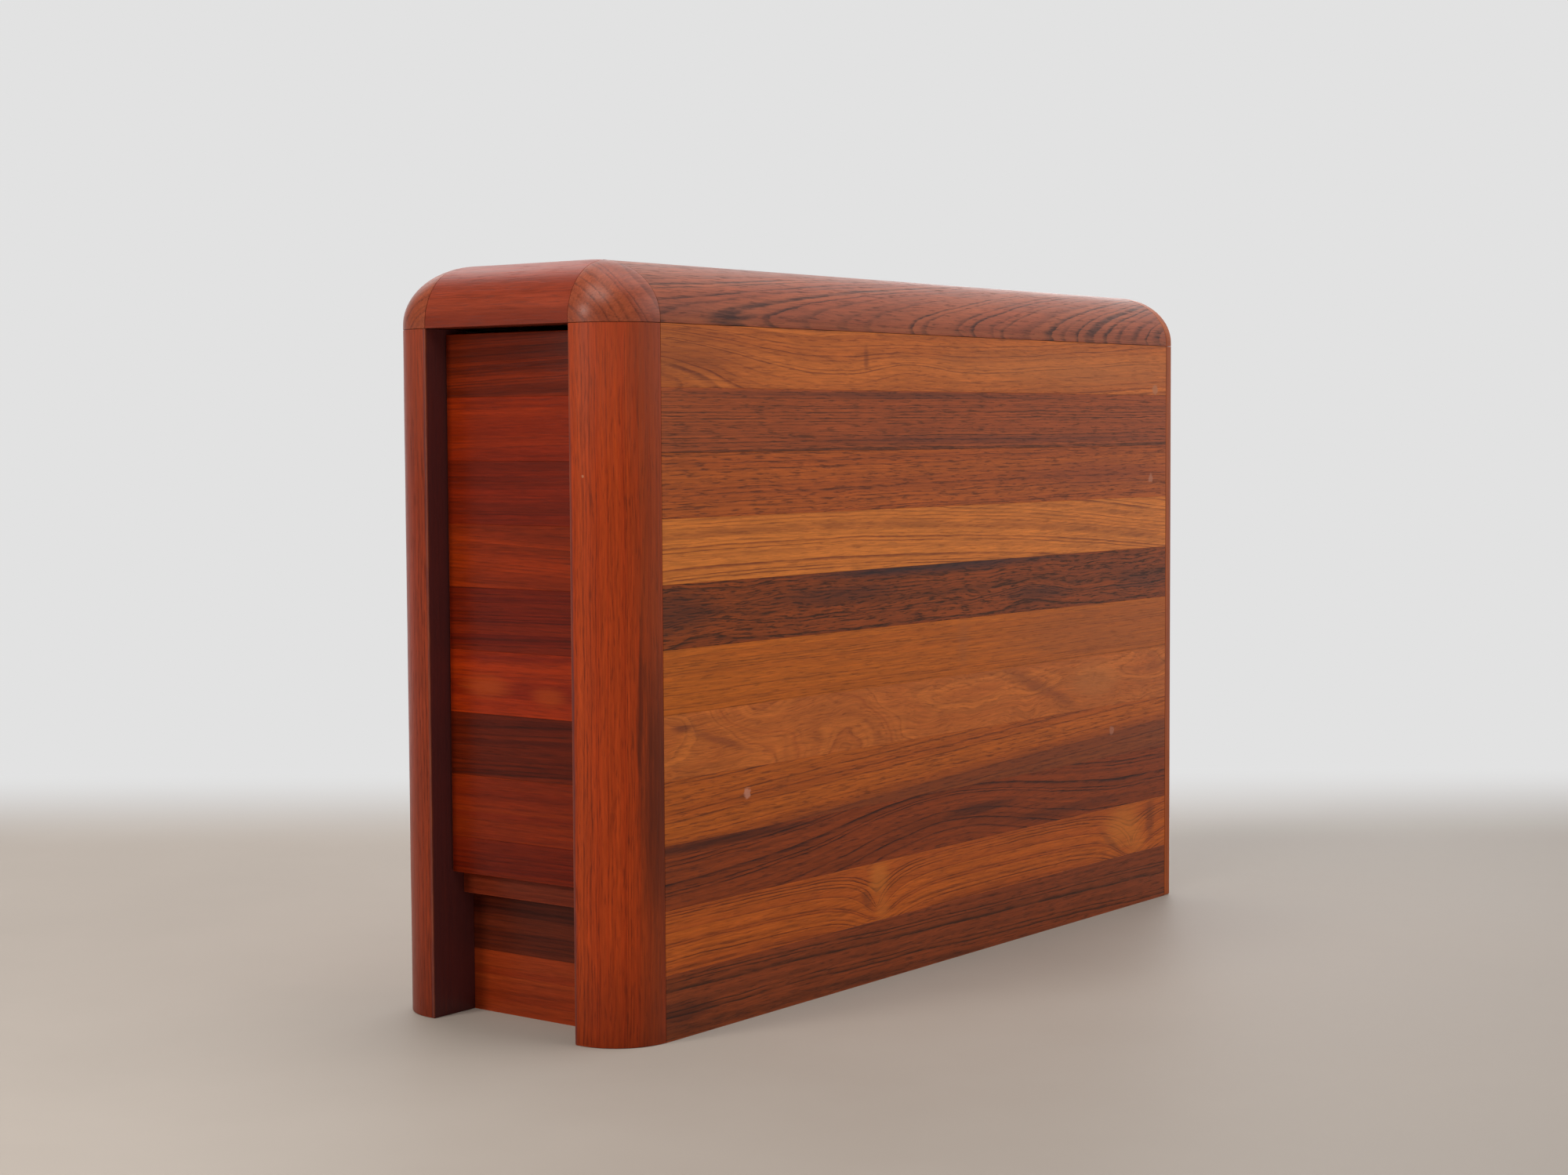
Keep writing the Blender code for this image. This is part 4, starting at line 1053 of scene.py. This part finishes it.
# ---- stage ----
BACKGROUND = (226, 226, 226)
FLOOR_DARK = (169, 158, 148)
FLOOR_LIGHT = (187, 177, 168)
FLOOR_FADE = (1.3, 3.0)
FLOOR_BACK = (-0.609, 0.793, 0.0)
FLOOR_SWEEP = (0.50, 1.10)  # the floor rises into the background this far behind the table
FLOOR_SIDE = (0.79, 0.30, 0.0)  # the floor is painted darker toward this side, a painted shade
FLOOR_SHADE = 0.70
BRIGHT_SIDE = (-0.26, 0.90, 0.35)
BRIGHT_EDGE = (0.2, 0.95)
ROOM_GLOW = (0.12, 1.15)
LIGHTS = (
    # name, place, size, power, colour
    ("front_left", (-0.75, -2.85, 1.22), (0.6, 0.6), 20, (1.0, 0.97, 0.90)),
    ("front_top", (0.1, -2.0, 2.7), (1.8, 1.4), 42, (1.0, 0.97, 0.91)),
    ("overhead", (0.2, 0.1, 2.8), (2.0, 2.0), 20, (1.0, 1.0, 1.0)),
    ("right", (2.6, 1.05, 1.9), (3.0, 2.4), 42, (1.0, 0.98, 0.96)),
    ("window", (-1.4, 3.6, 0.9), (1.6, 1.2), 15, (1.0, 1.0, 1.0)),
    ("behind_left", (-1.9, 0.5, 2.1), (1.2, 1.2), 5, (1.0, 0.98, 0.96)),
)
LIT_POINT = (0, 0, 0.27)  # every light faces the middle of the table
FLOOR_RADIUS = 40.0
CAMERA_LENS = 59.0165
CAMERA_PLACE = (1.2469, -1.6708, 0.4198)
CAMERA_TURN = (37.5295, -3.4475, -0.3173)  # yaw, pitch and roll in degrees


def add_floor():
    """A pale floor that lightens into the background with distance."""
    bm = bmesh.new()
    bmesh.ops.create_circle(bm, cap_ends=True, segments=96, radius=FLOOR_RADIUS)
    made, tree, shader = new_material("floor")
    coords = object_place(tree)
    away = vector(tree, "LENGTH", coords)
    cloud = noise_at(tree, coords, 2.4, 5.0, 0.6)
    near = blend(tree, cloud, linear(FLOOR_DARK), linear(FLOOR_LIGHT))
    # painted shade: the floor's colour darkens toward one side
    side = vector(tree, "DOT_PRODUCT", coords, FLOOR_SIDE)
    shade = between(tree, side, -0.4, 0.6, 1.0, FLOOR_SHADE)
    near = blend(tree, 1.0, near, combined(tree, shade, shade, shade), "MULTIPLY")
    shader.inputs["Specular IOR Level"].default_value = 0.15
    surface(tree, shader, near, calc(tree, "MULTIPLY_ADD", cloud, 0.2, 0.5))
    behind = vector(tree, "DOT_PRODUCT", coords, FLOOR_BACK)
    share = calc(tree, "MAXIMUM", between(tree, away, *FLOOR_FADE), between(tree, behind, *FLOOR_SWEEP))
    glow = node(tree, "ShaderNodeEmission", {"Color": linear(BACKGROUND), "Strength": 1.0})
    fade = node(tree, "ShaderNodeMixShader", {0: share, 1: shader.outputs[0], 2: glow.outputs[0]})
    feed(tree, tree.nodes["Material Output"].inputs["Surface"], fade.outputs[0])
    mesh = mesh_from("floor", bm)
    mesh.materials.append(made)
    add_object("floor", mesh)


def add_light(name, place, size, power, colour):
    lamp = bpy.data.lights.new(name, "AREA")
    lamp.shape = "RECTANGLE"
    lamp.size, lamp.size_y = size
    lamp.energy = power
    lamp.color = colour
    made = add_object(name, lamp)
    made.location = place
    made.visible_camera = False
    made.rotation_euler = (Vector(LIT_POINT) - Vector(place)).to_track_quat("-Z", "Y").to_euler()


def add_world():
    """Pale to look at, and as a light brightest behind the table, dimmer in front of it."""
    world = bpy.data.worlds.new("room")
    bpy.context.scene.world = world
    world.use_nodes = True
    tree = world.node_tree
    direction = node(tree, "ShaderNodeTexCoord").outputs["Generated"]
    facing = vector(tree, "DOT_PRODUCT", direction, BRIGHT_SIDE)
    glow = between(tree, facing, *BRIGHT_EDGE, *ROOM_GLOW)
    seen = node(tree, "ShaderNodeLightPath").outputs["Is Camera Ray"]
    shown = blend(tree, seen, combined(tree, glow, glow, glow), linear(BACKGROUND))
    feed(tree, tree.nodes["Background"].inputs["Color"], shown)


def add_lights():
    add_world()
    for light in LIGHTS:
        add_light(*light)


def add_camera():
    data = bpy.data.cameras.new("camera")
    data.sensor_width = 36.0
    data.lens = CAMERA_LENS
    camera = add_object("camera", data)
    camera.location = CAMERA_PLACE
    yaw, pitch, roll = (radians(v) for v in CAMERA_TURN)
    level = Matrix.Rotation(yaw, 3, "Z") @ Matrix.Rotation(pi / 2 + pitch, 3, "X")
    camera.rotation_euler = (level @ Matrix.Rotation(roll, 3, "Z")).to_euler()
    bpy.context.scene.camera = camera


bpy.context.scene.view_settings.view_transform = "Standard"
add_camera()
add_lights()
add_floor()
add_sides()
add_posts()
add_front_rail()
add_corner_blocks()
add_side_rails()
add_lippings()
add_top_panel()
add_front_panel()
add_plinth()
add_inside()
